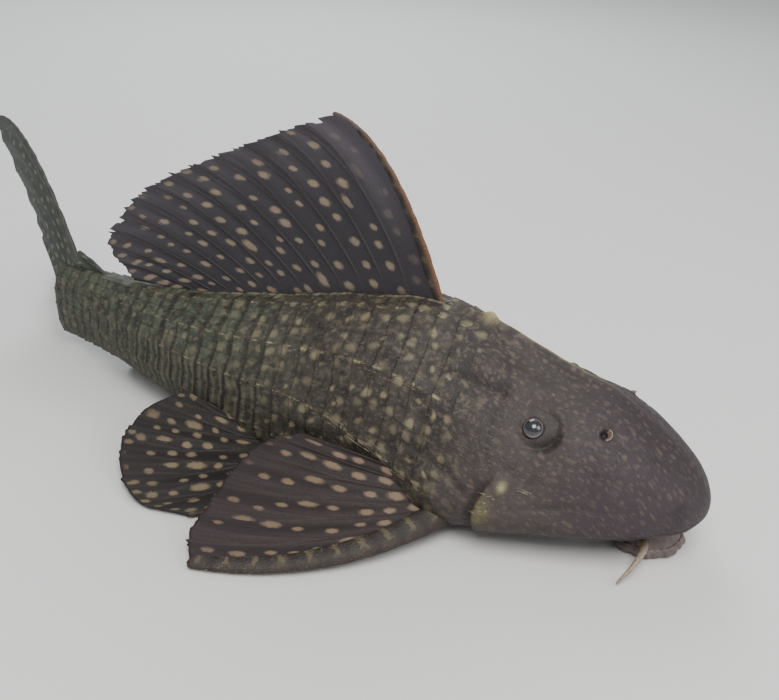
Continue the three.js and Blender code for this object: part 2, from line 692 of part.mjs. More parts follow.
function pairedFin(shape, sign) {
  const place = (list) => list.map((point) => pairedPoint(sign, point));
  const root = lineThrough(place(shape.root));
  const tip = lineThrough(place(shape.tip));
  const [front, back] = place(shape.bow);
  return finSheet({
    root,
    tip,
    bend: bowed(root, tip, (u) => front.clone().lerp(back, u)),
    half: spineAndMembrane(shape.spineHalf, PAIRED.rayHalf),
    columns: spineAndRays(PAIRED.spineWidth, shape.rays, PAIRED.rayShare),
    rows: 9,
    notch: shape.notch,
  });
}

// Barbel at each corner of the mouth, out from the lip and down to the floor.
function barbel(sign) {
  const path = new THREE.CatmullRomCurve3([
    besideAxis(6.4, sign * 3.2 * UNIT, 2.2 * UNIT),
    besideAxis(5.6, sign * 6 * UNIT, 2.8 * UNIT),
    besideAxis(6.1, sign * 8.6 * UNIT, 1.9 * UNIT),
    besideAxis(7.2, sign * 10.6 * UNIT, 0.55 * UNIT),
  ]);
  const sides = 8;
  const rings = stations(0, 1, 9).map((t) => {
    const centre = path.getPoint(t);
    const forward = path.getTangent(t);
    const up = new THREE.Vector3(0, 0, 1);
    const side = forward.clone().cross(up).normalize();
    const over = side.clone().cross(forward);
    const radius = THREE.MathUtils.lerp(1.5, 0.5, t);
    return stations(0, 2 * Math.PI, sides).slice(0, -1).map((angle) => centre.clone()
      .addScaledVector(side, radius * Math.cos(angle))
      .addScaledVector(over, radius * Math.sin(angle)));
  });
  return loft(rings);
}

SIDES.forEach(({ name, sign }) => {
  addNode(`pectoral_fin_${name}`, cutByBody(pairedFin(PECTORAL, sign)), material(FIN));
  addNode(`pelvic_fin_${name}`, cutByBody(pairedFin(PELVIC, sign)), material(FIN));
  const lipCentre = besideAxis(LIP.s, 0, 0);
  const lipCutter = new THREE.CylinderGeometry(LIP.radius * UNIT + GAP, LIP.radius * UNIT + GAP, 40, 32);
  lipCutter.rotateX(Math.PI / 2);
  lipCutter.translate(lipCentre.x, lipCentre.y, 10);
  const clear = toSolid(barbel(sign)).subtract(grownBody).subtract(toSolid(lipCutter));
  addNode(`barbel_${name}`, toGeometry(clear), material(0xb7a58f));
});

export default fish;
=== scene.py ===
"""Sailfin pleco resting on its belly, life size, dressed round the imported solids."""
import sys
import logging
import math
from dataclasses import dataclass
from enum import Enum
from typing import Callable, Optional, Union

import bpy
import numpy as np
from mathutils import Matrix, Vector


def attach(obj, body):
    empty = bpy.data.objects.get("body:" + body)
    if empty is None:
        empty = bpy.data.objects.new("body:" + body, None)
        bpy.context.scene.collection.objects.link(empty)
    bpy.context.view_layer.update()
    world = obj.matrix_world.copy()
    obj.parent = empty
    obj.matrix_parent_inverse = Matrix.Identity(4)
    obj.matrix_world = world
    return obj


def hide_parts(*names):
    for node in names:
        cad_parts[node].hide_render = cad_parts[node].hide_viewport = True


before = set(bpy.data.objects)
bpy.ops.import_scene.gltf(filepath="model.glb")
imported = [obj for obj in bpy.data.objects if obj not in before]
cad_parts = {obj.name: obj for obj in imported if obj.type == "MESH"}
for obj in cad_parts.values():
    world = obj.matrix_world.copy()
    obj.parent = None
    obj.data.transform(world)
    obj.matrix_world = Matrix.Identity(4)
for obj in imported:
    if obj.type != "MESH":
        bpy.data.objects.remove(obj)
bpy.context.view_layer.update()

Array = np.ndarray
Reading = Union[float, np.ndarray]
Colour = tuple[float, float, float]

log = logging.getLogger("pleco")

MM = 0.001
STANDARD_LENGTH = 0.270
TAIL_STATION = 96.5
UNIT = STANDARD_LENGTH / TAIL_STATION
ORIGIN_STATION = 38.5
HEAD_END = 26.1
PLATE_COUNT = 30
FIRST_PITCH = 2.75
PITCH_LOSS = 2 * (FIRST_PITCH * PLATE_COUNT - (TAIL_STATION - HEAD_END)) / PLATE_COUNT ** 2
SEED = 11
FORWARD = np.array([1.0, 0.0, 0.0])


class Hand(Enum):
    """Side of the fish; the value is the sign of y there."""

    RIGHT = -1
    LEFT = 1

    @property
    def label(self) -> str:
        """Name of the side in lower case, as piece and node names use it."""
        return self.name.lower()


class Slot(Enum):
    """Finish slots of the record."""

    SKIN = "skin"
    FIN = "fin"
    SPINE = "spine"
    LIP = "lip"
    EYE = "eye"


def srgb(red: int, green: int, blue: int) -> Colour:
    """Turns a colour of 0 to 255 as seen on screen into the linear numbers that shaders use."""
    def linear(level: float) -> float:
        """One number, given as 0 to 1 on screen."""
        return level / 12.92 if level <= 0.04045 else ((level + 0.055) / 1.055) ** 2.4
    return linear(red / 255), linear(green / 255), linear(blue / 255)


def smooth(low: float, high: float, value: Array) -> Array:
    """Smooth step from 0 at low to 1 at high."""
    t = np.clip((value - low) / (high - low), 0.0, 1.0)
    return t * t * (3 - 2 * t)


def hump(value: Array, centre: float, width: float) -> Array:
    """Bell of height 1 at its centre that dies away over about its width."""
    return np.exp(-(((value - centre) / width) ** 2))


def lerp(start: Array, end: Array, share: Array) -> Array:
    """Straight mix of two values."""
    return start + (end - start) * share


def unit(vectors: Array) -> Array:
    """Vectors scaled to length 1."""
    return vectors / np.maximum(np.linalg.norm(vectors, axis=-1, keepdims=True), 1e-12)


def spline(points: Array, share: Array) -> Array:
    """Centripetal Catmull-Rom curve through points.

    Args:
        points: The points, one per row.
        share: Places along the curve, 0 at the first point and 1 at the last.

    Returns:
        The points of the curve, with a last axis of 3.
    """
    last = len(points) - 1
    place = np.clip(np.asarray(share, float), 0, 1) * last
    k = np.minimum(place.astype(int), last - 1)
    t = (place - k)[..., None]
    padded = np.vstack([2 * points[0] - points[1], points, 2 * points[last] - points[last - 1]])
    a, b, c, d = (padded[k + step] for step in range(4))
    gaps = [np.maximum(np.linalg.norm(q - p, axis=-1, keepdims=True), 1e-9) ** 0.5
            for p, q in ((a, b), (b, c), (c, d))]
    start = ((b - a) / gaps[0] - (c - a) / (gaps[0] + gaps[1]) + (c - b) / gaps[1]) * gaps[1]
    end = ((c - b) / gaps[1] - (d - b) / (gaps[1] + gaps[2]) + (d - c) / gaps[2]) * gaps[1]
    return (b + start * t + (3 * (c - b) - 2 * start - end) * t ** 2
            + (2 * (b - c) + start + end) * t ** 3)


# Shape of the body

@dataclass(frozen=True)
class Section:
    """Cross-section of the body at a station, all in stations but the two roundness exponents."""

    s: float
    half: float
    top: float
    low: float
    wide: float
    above: float
    below: float


SECTIONS = (
    Section(0, 0, 6.4, 6.4, 6.4, 2.1, 2.2),
    Section(2, 4.8, 10.6, 4, 6.2, 2.1, 2.1),
    Section(5, 7.1, 13.2, 2.8, 6, 2.05, 2),
    Section(8.5, 9.5, 15.9, 2.2, 5.9, 1.8, 2),
    Section(13.5, 11.5, 18.5, 1.6, 5.9, 1.55, 2.1),
    Section(18.5, 12.9, 19.8, 1, 6, 1.42, 2.2),
    Section(23.5, 13.7, 21.3, 0.2, 6.1, 1.38, 2.5),
    Section(29.5, 13.8, 23.3, -0.6, 6.3, 1.45, 3),
    Section(36.5, 12.6, 24.1, -1, 6.5, 1.7, 3.2),
    Section(43.5, 11.6, 22.9, -1, 6.7, 1.95, 3.2),
    Section(53.5, 10.3, 20.6, -0.9, 7, 2, 3),
    Section(61.5, 9.2, 18.6, -0.3, 7.3, 2.05, 2.8),
    Section(70.5, 7.2, 16.6, 1, 7.8, 2.1, 2.4),
    Section(78.5, 5.3, 15.4, 2.2, 8.3, 2.1, 2.2),
    Section(86, 3.6, 14.6, 2.7, 8.4, 2.1, 2.2),
    Section(92, 2.5, 13.8, 2.4, 8.2, 2.1, 2.2),
    Section(TAIL_STATION, 1.8, 13, 1.8, 8, 2.1, 2.2),
)

# Station and heading in degrees of the middle line: the tail swings to the fish's left.
HEADINGS = ((0, 1.6), (28, 1.6), (50, 0), (73, 3), (87, 9), (TAIL_STATION, 17))


def plate_station(plate: Array) -> Array:
    """Station of a plate coordinate; the plates grow shorter toward the tail."""
    return HEAD_END + plate * (FIRST_PITCH - PITCH_LOSS * np.maximum(plate, 0) / 2)


# Rows of plates down one side, as the heights of their edges round the section in degrees, at the
# shoulder and behind the dorsal fin. The keel of a row lies half way between its edges.
ROW_EDGES_FRONT = (90, 58, 26, -12, -32, -56, -76, -90)
ROW_EDGES_REAR = (90, 57, 32, 8, -16, -46, -72, -90)
DRIFT_START = 29
DRIFT_END = 54


class FishBody:
    """Bare outer form of head, trunk and tail, read by station, height round the section and side."""

    def __init__(self) -> None:
        """Works out the slopes of the section table and the middle line once."""
        self.knots = np.sqrt([row.s for row in SECTIONS])
        names = ("half", "top", "low", "wide", "above", "below")
        self.tables = {name: np.array([getattr(row, name) for row in SECTIONS]) for name in names}
        before = np.maximum(np.arange(len(SECTIONS)) - 1, 0)
        after = np.minimum(np.arange(len(SECTIONS)) + 1, len(SECTIONS) - 1)
        run = self.knots[after] - self.knots[before]
        self.slopes = {name: (t[after] - t[before]) / run for name, t in self.tables.items()}
        step = 0.5
        self.stations = np.arange(0, TAIL_STATION + 8, step)
        turns = self.turn(self.stations[:-1] + step / 2)
        moves = np.stack([-np.cos(turns), np.sin(turns)], axis=1) * step * UNIT
        line = np.vstack([[0, 0], np.cumsum(moves, axis=0)])
        self.line = line - line[int(ORIGIN_STATION / step)]

    def measure(self, name: str, s: Reading) -> Reading:
        """Value of one field of the section table at stations, in stations."""
        q = np.sqrt(np.clip(s, 0, TAIL_STATION))
        k = np.clip(np.searchsorted(self.knots, q, side="right") - 1, 0, len(SECTIONS) - 2)
        width = self.knots[k + 1] - self.knots[k]
        t = (q - self.knots[k]) / width
        table, slopes = self.tables[name], self.slopes[name]
        fall = (1 - t) ** 2
        return (table[k] * fall * (1 + 2 * t) + table[k + 1] * t * t * (3 - 2 * t)
                + slopes[k] * width * t * fall - slopes[k + 1] * width * t * t * (1 - t))

    def turn(self, s: Reading) -> Reading:
        """Heading of the middle line in radians; positive swings the tail to the fish's left."""
        places = np.array([row[0] for row in HEADINGS], float)
        angles = np.array([row[1] for row in HEADINGS], float)
        k = np.clip(np.searchsorted(places, s, side="right") - 1, 0, len(places) - 2)
        share = smooth(0, 1, (s - places[k]) / (places[k + 1] - places[k]))
        return np.radians(lerp(angles[k], angles[k + 1], share))

    def beside(self, s: Reading, across: Reading, up: Reading) -> Array:
        """Points beside the middle line, across to the fish's left and up, in metres."""
        turn = self.turn(s)
        x = np.interp(s, self.stations, self.line[:, 0]) + across * np.sin(turn)
        y = np.interp(s, self.stations, self.line[:, 1]) + across * np.cos(turn)
        return np.stack(np.broadcast_arrays(x, y, up), axis=-1)

    def tailward(self, s: Reading) -> Array:
        """Directions of the middle line toward the tail."""
        turn = self.turn(s)
        return np.stack([-np.cos(turn), np.sin(turn), 0 * turn], axis=-1)

    def point(self, s: Reading, side: Reading, hand: Reading) -> Array:
        """Points on the bare body.

        Args:
            s: Stations.
            side: Heights round the section in degrees, 90 on the back, 0 at the widest, -90 below.
            hand: Sign of the side, 1 on the fish's left.

        Returns:
            The points in metres, with a last axis of 3.
        """
        angle = np.radians(side)
        upper = angle >= 0
        power = 2 / np.where(upper, self.measure("above", s), self.measure("below", s))
        across = self.measure("half", s) * np.maximum(np.cos(angle), 0) ** power
        wide = self.measure("wide", s)
        reach = np.where(upper, self.measure("top", s) - wide, wide - self.measure("low", s))
        up = wide + reach * np.sign(angle) * np.abs(np.sin(angle)) ** power
        return self.beside(s, hand * across * UNIT, np.maximum(up, 0) * UNIT)

    def normal(self, s: Reading, side: Reading, hand: Reading) -> Array:
        """Outward directions on the bare body, as for point."""
        step, swing = 0.12, 1.5
        along = self.point(s + step, side, hand) - self.point(np.maximum(s - step, 0.0), side, hand)
        over_top = side + swing > 90
        upper_side = np.where(over_top, 180 - side - swing, side + swing)
        upper_hand = np.where(over_top, -hand, hand)
        under = side - swing < -90
        lower_side = np.where(under, -180 - side + swing, side - swing)
        lower_hand = np.where(under, -hand, hand)
        round_it = self.point(s, upper_side, upper_hand) - self.point(s, lower_side, lower_hand)
        return unit(np.cross(along, round_it) * np.asarray(hand)[..., None])

    def row_height(self, row: Reading, s: Reading) -> Reading:
        """Height round the section in degrees of a row coordinate, 0 on the back and 7 below."""
        rows = np.arange(len(ROW_EDGES_FRONT))
        share = smooth(DRIFT_START, DRIFT_END, s)
        return lerp(np.interp(row, rows, ROW_EDGES_FRONT), np.interp(row, rows, ROW_EDGES_REAR), share)


BODY = FishBody()


def round_axis(axis: Array, hand: Hand) -> tuple[Array, Array]:
    """Directions square to an axis that leaves the skin: one toward the head and one up the side."""
    ahead = unit(FORWARD - axis[0] * axis)
    return ahead, np.cross(ahead, axis) * hand.value


# Relief of the skin, in millimetres along its outward direction

@dataclass(frozen=True)
class Swell:
    """Smooth rise, or hollow if its height is negative, at one place on each side of the body."""

    s: float
    side: float
    height: float
    length: float
    spread: float

    def relief(self, s: Array, side: Array) -> Array:
        """Its height at places on the body."""
        return self.height * hump(s, self.s, self.length) * hump(side, self.side, self.spread)


@dataclass(frozen=True)
class Groove:
    """Narrow furrow along a few places given as station and height round the section."""

    places: tuple[tuple[float, float], ...]
    depth: float
    width: float

    def relief(self, s: Array, side: Array) -> Array:
        """Its depth, as a negative height, at places on the body."""
        mm_per_degree, far = 0.55, 1e3
        nearest = np.full(np.shape(s), far)
        for (s0, d0), (s1, d1) in zip(self.places, self.places[1:]):
            start = np.array([s0 * UNIT / MM, d0 * mm_per_degree])
            run = np.array([s1 * UNIT / MM, d1 * mm_per_degree]) - start
            along, around = s * UNIT / MM - start[0], side * mm_per_degree - start[1]
            share = np.clip((along * run[0] + around * run[1]) / (run @ run), 0, 1)
            nearest = np.minimum(nearest, np.hypot(along - share * run[0], around - share * run[1]))
        return -self.depth * np.exp(-((nearest / self.width) ** 2))


HEAD_FORMS = (
    Swell(26.5, 90, 0.9, 3.2, 9),
    Swell(28.8, 90, 2.1, 0.75, 5),
    Swell(20.0, 90, 1.3, 9.0, 3.5),
    Swell(32.5, 90, 0.9, 2.6, 3),
    Swell(21.5, 71, -0.7, 6.0, 8),
    Swell(12.0, 46, 0.9, 6.0, 11),
    Swell(6.0, 90, 0.4, 4.0, 9),
    Swell(25.0, 62, 0.9, 3.2, 6),
    Swell(24.5, 38, 0.6, 3.0, 8),
    Swell(21.6, 20, 0.8, 0.8, 4),
    Swell(21.5, -4, 0.7, 3.0, 16),
    Swell(14.0, 18, -0.8, 4.0, 12),
    Swell(31.8, 30, -0.7, 1.4, 6),
    Swell(29.2, 2, 1.6, 1.7, 12),
    Swell(33.4, 90, -0.5, 2.6, 8),
)
GROOVES = (
    Groove(((31.9, 50.5), (29.8, 52), (27.6, 53), (25.2, 53.5), (24.0, 55.5)), 0.9, 1.0),
    Groove(((31.4, 47), (29.0, 48.5), (26.6, 49.5)), 0.6, 0.45),
    Groove(((34.2, 20), (30.8, 21), (27.6, 18), (25.6, 12)), 1.0, 0.9),
    Groove(((27.4, 84), (25.2, 74), (24.0, 62), (24.6, 46), (24.4, 34), (23.2, 26)), 0.45, 0.5),
    Groove(((21.4, 86), (20.6, 76), (22.2, 64), (23.8, 62)), 0.35, 0.45),
    Groove(((20.0, 10), (17.0, 14), (13.0, 18), (10.0, 16)), 0.4, 0.6),
    Groove(((10.4, 76), (9.6, 60), (10.2, 40), (11.4, 26)), 0.3, 0.45),
    Groove(((16.6, 86), (15.4, 72), (14.6, 60)), 0.3, 0.45),
    Groove(((1.2, -8), (3, -14), (8, -18), (14, -20), (20, -22), (23.2, -24)), 0.5, 0.8),
)


@dataclass(frozen=True)
class GillCover:
    """Free rear edge of the gill cover: the skin rises to it and drops away behind it."""

    sides: tuple = (-70, -50, -30, -12, 0, 9, 17, 24, 30)
    stations: tuple = (21.6, 22.6, 23.4, 23.9, 23.9, 23.6, 23.1, 22.4, 21.6)
    rise: float = 1.0
    rise_length: float = 1.5
    drop: float = 2.1
    drop_length: float = 1.2
    wall: float = 0.3

    def edge(self, side: Array) -> Array:
        """Station of the edge at heights round the section."""
        return np.interp(side, self.sides, self.stations)

    def relief(self, s: Array, side: Array) -> Array:
        """Its height at places on the body, in millimetres."""
        behind = s - self.edge(side)
        front = self.rise * np.exp(-((np.minimum(behind, 0) / self.rise_length) ** 2))
        back = -self.drop * np.exp(-((behind / self.drop_length) ** 2))
        strength = smooth(29, 13, side) * smooth(-76, -50, side)
        return strength * lerp(front, back, smooth(0, self.wall, behind))


GILL_COVER = GillCover()


@dataclass(frozen=True)
class PlateArmour:
    """Rings of plates from the shoulder to the tail, each raised at its rear edge and keeled."""

    lift: float = 0.7
    keel: float = 0.5
    keel_width: float = 0.07
    seam: float = 0.22
    seam_width: float = 0.04
    point: float = 0.05
    ridge: float = 0.32
    tail_share: float = 0.7
    last_row: float = 5.4

    def swing(self, row: Array) -> Array:
        """Share of a plate by which its edges lie tailward, most at the keel."""
        return -self.point * np.cos(2 * np.pi * row) * smooth(6.6, 5.6, row)

    def relief(self, plate: Array, row: Array, s: Array) -> Array:
        """Height of the armour.

        Args:
            plate: Plate coordinate along the body, whole at each front edge.
            row: Row coordinate, whole at the edges of the rows.
            s: Stations.

        Returns:
            Heights in millimetres.
        """
        share, across = plate % 1, row % 1
        low = smooth(1.6, 3.2, row)
        rear = smooth(46, 62, s)
        on_crest = lerp(0.4, 1.0, smooth(0.1, 1.2, row))
        lift = self.lift * on_crest * lerp(0.4, 1.0, np.maximum(low, rear)) * share ** 1.4
        lift = lift * (1 - smooth(0.955, 0.999, share))
        middle = self.ridge * np.maximum(low * rear, 0.25) * hump(share, 0.47, 0.1)
        keel = self.keel * hump(across, 0.5, self.keel_width) * (0.35 + 0.65 * share)
        seam = self.seam * (hump(across, 0, self.seam_width) + hump(across, 1, self.seam_width))
        size = lerp(1.0, self.tail_share, (s - HEAD_END) / (TAIL_STATION - HEAD_END))
        armoured = smooth(0.2, 2.4, plate) * (1 - smooth(self.last_row, self.last_row + 0.6, row))
        on_back = smooth(0.02, 0.2, row)
        return size * armoured * (lift + middle + (keel - seam) * on_back)


ARMOUR = PlateArmour()


@dataclass(frozen=True)
class Orbit:
    """Eye socket: the eyeball's place, and the rim, moat and brow that the skin makes round it."""

    s: float = 19.85
    side: float = 46.0
    across: float = 7.6
    up: float = 15.1
    ball: float = 3.9
    sunk: float = 1.2
    rim: float = 3.5
    moat: float = 5.7
    brow: float = 7.9
    forward: float = 1.9

    def centre(self, hand: Hand) -> Array:
        """Centre of the opening in metres."""
        return BODY.beside(self.s, hand.value * self.across * UNIT, self.up * UNIT)

    def axis(self, hand: Hand) -> Array:
        """Direction in which the eye looks."""
        return BODY.normal(self.s, self.side, hand.value)

    def relief(self, points: Array) -> Array:
        """Height of the forms round both eyes at points of the bare skin, in millimetres."""
        total = np.zeros(points.shape[:-1])
        for hand in Hand:
            axis = self.axis(hand)
            ahead, upward = round_axis(axis, hand)
            offset = (points - self.centre(hand)) / MM
            flat = offset - (offset @ axis)[..., None] * axis
            near = np.linalg.norm(flat, axis=-1)
            shifted = flat - ahead * self.forward
            far = np.linalg.norm(shifted, axis=-1)
            front = smooth(-6, 5, shifted @ ahead)
            below = smooth(4, -5, shifted @ upward)
            here = smooth(30, 16, near) * (offset @ axis > -14)
            rim = 0.55 * hump(near, self.rim + 0.5, 0.8)
            moat = -(0.15 + 2.1 * below * (0.45 + 0.55 * front) + 0.2 * front) * hump(far, self.moat, 1.5)
            brow = (0.15 + 0.75 * front * (1 - 0.5 * below)) * hump(far, self.brow, 1.2)
            socket = -4.5 * (1 - smooth(self.rim - 1.6, self.rim - 0.5, near))
            total += here * (rim + (moat + brow) * smooth(3.4, 4.6, near) + socket)
        return total


ORBIT = Orbit()


@dataclass(frozen=True)
class Nostril:
    """Nostril: a pit behind a raised flap, with a low rim round both."""

    s: float = 12.3
    side: float = 56.0
    rim: float = 2.2
    rim_height: float = 0.45
    rim_width: float = 0.6
    pit: float = 1.4
    pit_wall: float = 0.5
    pit_depth: float = 1.9

    def centre(self, hand: Hand) -> Array:
        """Its place on the bare skin, in metres."""
        return BODY.point(self.s, self.side, hand.value)

    def axis(self, hand: Hand) -> Array:
        """Direction in which it leaves the skin."""
        return BODY.normal(self.s, self.side, hand.value)

    def relief(self, points: Array) -> Array:
        """Height of the rims and pits at points of the bare skin, in millimetres."""
        total = np.zeros(points.shape[:-1])
        for hand in Hand:
            near = np.linalg.norm(points - self.centre(hand), axis=-1) / MM
            total += self.rim_height * hump(near, self.rim, self.rim_width)
            total -= self.pit_depth * (1 - smooth(self.pit - self.pit_wall, self.pit + self.pit_wall, near))
        return total


NOSTRIL = Nostril()

# Heights in millimetres and lengths in metres of the waves that make the skin uneven
UNEVENNESS = ((0.12, 0.009), (0.2, 0.03))


def wander(points: Array, scale: float, seed: int) -> Array:
    """Smooth unevenness between about -1 and 1: a few crossing waves of seeded directions.

    Args:
        points: Places in metres.
        scale: Length of the waves in metres.
        seed: Picks the waves.

    Returns:
        One value for each point.
    """
    rng = np.random.default_rng(seed)
    total = np.zeros(points.shape[:-1])
    waves = 7
    for _ in range(waves):
        direction = unit(rng.normal(size=3)) * 2 * np.pi / (scale * rng.uniform(0.7, 1.5))
        total += np.sin(points @ direction + rng.uniform(0, 2 * np.pi))
    return total / math.sqrt(waves)


def skin_relief(s: Array, side: Array, row: Array, plate: Array, bare: Array) -> Array:
    """Whole relief of the skin in millimetres, at places given in each of the ways it is read."""
    total = ARMOUR.relief(plate, row, s)
    for seed, (height, length) in enumerate(UNEVENNESS, SEED):
        total = total + height * wander(bare, length, seed)
    for form in (*HEAD_FORMS, *GROOVES, GILL_COVER):
        total = total + form.relief(s, side)
    return total + ORBIT.relief(bare) + NOSTRIL.relief(bare)


def skin_place(plate: Array, row: Array, hand: Array) -> tuple[Array, Array]:
    """Points and outward directions on the finished skin of the trunk.

    Args:
        plate: Plate coordinates along the body.
        row: Row coordinates.
        hand: Signs of the side.

    Returns:
        The points in metres and the directions.
    """
    s = plate_station(plate + ARMOUR.swing(row) * smooth(0, 1, plate))
    side = BODY.row_height(row, s)
    bare = BODY.point(s, side, hand)
    normal = BODY.normal(s, side, hand)
    height = skin_relief(s, side, row, plate, bare)
    return bare + normal * height[..., None] * MM, normal


# Modelling bench

def activate(piece: bpy.types.Object) -> None:
    """Makes a piece the only selected and the active one."""
    bpy.ops.object.select_all(action="DESELECT")
    piece.select_set(True)
    bpy.context.view_layer.objects.active = piece


def apply_modifier(piece: bpy.types.Object, kind: str, **settings: object) -> None:
    """Adds a modifier with its settings and applies it."""
    activate(piece)
    modifier = piece.modifiers.new(kind.title(), kind)
    for name, value in settings.items():
        setattr(modifier, name, value)
    bpy.ops.object.modifier_apply(modifier=modifier.name)


def in_edit_mode(piece: bpy.types.Object, *steps: Callable[[], object]) -> None:
    """Runs steps on the whole mesh of a piece in edit mode."""
    activate(piece)
    bpy.ops.object.mode_set(mode="EDIT")
    bpy.ops.mesh.select_all(action="SELECT")
    for step in steps:
        step()
    bpy.ops.object.mode_set(mode="OBJECT")


def set_attribute(piece: bpy.types.Object, name: str, values: Array) -> None:
    """Stores one number per vertex under a name."""
    attribute = piece.data.attributes.new(name, "FLOAT", "POINT")
    attribute.data.foreach_set("value", np.ascontiguousarray(values, np.float32).ravel())


def move_vertices(piece: bpy.types.Object, points: Array) -> None:
    """Moves the vertices of a piece to points in metres."""
    piece.data.vertices.foreach_set("co", np.ascontiguousarray(points, np.float32).ravel())
    piece.data.update()


def primitive(name: str, add: Callable[..., object], **sizes: object) -> bpy.types.Object:
    """Adds a primitive on its own and names it."""
    bpy.ops.object.select_all(action="DESELECT")
    add(**sizes)
    piece = bpy.context.object
    piece.name = piece.data.name = name
    return piece


def sheet(name: str, points: Array, **attributes: Array) -> bpy.types.Object:
    """Grid primitive whose vertices are moved to points.

    Args:
        name: Name of the piece.
        points: Places in metres, as rows by columns by 3.
        attributes: Numbers to store, one per point.

    Returns:
        The piece, its vertices in the order of the points.
    """
    rows, columns = points.shape[:2]
    cells = {"x_subdivisions": columns - 1, "y_subdivisions": rows - 1}
    piece = primitive(name, bpy.ops.mesh.primitive_grid_add, size=1, **cells)
    move_vertices(piece, points)
    for key, values in attributes.items():
        set_attribute(piece, key, values)
    return piece


def ball(name: str, segments: int, rings: int) -> tuple[bpy.types.Object, Array]:
    """Sphere primitive of radius 1, and the places of its vertices."""
    add = bpy.ops.mesh.primitive_uv_sphere_add
    piece = primitive(name, add, segments=segments, ring_count=rings, radius=1.0)
    flat = np.empty(len(piece.data.vertices) * 3, np.float32)
    piece.data.vertices.foreach_get("co", flat)
    return piece, flat.reshape(-1, 3).astype(float)


def linked(name: str, data: bpy.types.ID) -> bpy.types.Object:
    """Object made of data and put into the scene."""
    made = bpy.data.objects.new(name, data)
    bpy.context.scene.collection.objects.link(made)
    return made


def shade_smooth(piece: bpy.types.Object) -> None:
    """Smooth shading all over a piece."""
    activate(piece)
    bpy.ops.object.shade_smooth()


def outward(piece: bpy.types.Object) -> None:
    """Turns all faces of a closed piece outward."""
    in_edit_mode(piece, lambda: bpy.ops.mesh.normals_make_consistent(inside=False))


def closed(piece: bpy.types.Object) -> bpy.types.Object:
    """Rolled-up sheet made smooth, with its seam and pinched ends merged."""
    in_edit_mode(piece, lambda: bpy.ops.mesh.remove_doubles(threshold=1e-6))
    outward(piece)
    shade_smooth(piece)
    return piece


def tube(name: str, points: Array, **attributes: Array) -> bpy.types.Object:
    """Smooth closed form, rolled up from a grid: its end rows pinch to points and its sides meet.

    Args:
        name: Name of the piece.
        points: Places in metres, ring by ring; the last column falls on the first.
        attributes: Numbers to store, one per point.

    Returns:
        The piece, with no place under the floor.
    """
    points[..., 2] = np.maximum(points[..., 2], 0.0)
    points[0] = points[0].mean(axis=0)
    points[-1] = points[-1].mean(axis=0)
    points[:, -1] = points[:, 0]
    return closed(sheet(name, points, **attributes))


def finished(piece: bpy.types.Object, material: bpy.types.Material, slot: Slot, *nodes: str) -> None:
    """Dresses a piece, lets it ride on the fish and hides the solids it stands for."""
    piece.data.materials.clear()
    piece.data.materials.append(material)
    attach(piece, "root")
    if nodes:
        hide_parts(*nodes)
    log.info("%s: %d faces", piece.name, len(piece.data.polygons))


# Shader maths

Number = Union["Value", float, int]


class Value:
    """Number that changes over a surface, with Python's operators adding Math nodes."""

    def __init__(self, shader: "Shader", socket: bpy.types.NodeSocket) -> None:
        """Wraps an output socket of a shader."""
        self.shader = shader
        self.socket = socket

    def maths(self, operation: str, *others: Number, first: Optional[Number] = None) -> "Value":
        """Adds a Math node.

        Args:
            operation: Blender's name of the operation.
            others: Further operands.
            first: Operand that comes before this value, for the reflected operators.

        Returns:
            The node's value.
        """
        operands = (self, *others) if first is None else (first, self)
        return self.shader.value("ShaderNodeMath", {"operation": operation}, dict(enumerate(operands)))

    def __add__(self, other: Number) -> "Value":
        """Sum."""
        return self.maths("ADD", other)

    __radd__ = __add__

    def __sub__(self, other: Number) -> "Value":
        """Difference."""
        return self.maths("SUBTRACT", other)

    def __rsub__(self, other: Number) -> "Value":
        """Difference from a number."""
        return self.maths("SUBTRACT", first=other)

    def __mul__(self, other: Number) -> "Value":
        """Product."""
        return self.maths("MULTIPLY", other)

    __rmul__ = __mul__

    def __truediv__(self, other: Number) -> "Value":
        """Quotient."""
        return self.maths("DIVIDE", other)

    def __pow__(self, other: Number) -> "Value":
        """Power."""
        return self.maths("POWER", other)

    def __mod__(self, other: Number) -> "Value":
        """Remainder that is never negative."""
        return self.maths("FLOORED_MODULO", other)

    def floor(self) -> "Value":
        """Whole part."""
        return self.maths("FLOOR")

    def absolute(self) -> "Value":
        """Size without its sign."""
        return self.maths("ABSOLUTE")

    def sine(self) -> "Value":
        """Sine."""
        return self.maths("SINE")

    def root(self) -> "Value":
        """Square root."""
        return self.maths("SQRT")

    def lowest(self, other: Number) -> "Value":
        """The smaller of two."""
        return self.maths("MINIMUM", other)

    def highest(self, other: Number) -> "Value":
        """The larger of two."""
        return self.maths("MAXIMUM", other)

    def step(self, low: float, high: float) -> "Value":
        """Smooth step from 0 at low to 1 at high, or falling if high is the lower."""
        inputs = {"Value": self, "From Min": min(low, high), "From Max": max(low, high)}
        rising = self.shader.value("ShaderNodeMapRange", {"interpolation_type": "SMOOTHSTEP"}, inputs)
        return rising if low < high else 1 - rising

    def within(self, low: float, high: float) -> "Value":
        """This value, kept between two numbers."""
        return self.highest(low).lowest(high)


Input = Union[Value, bpy.types.NodeSocket, float, int, tuple]
Settings = dict[str, object]
Inputs = dict[Union[str, int], Input]


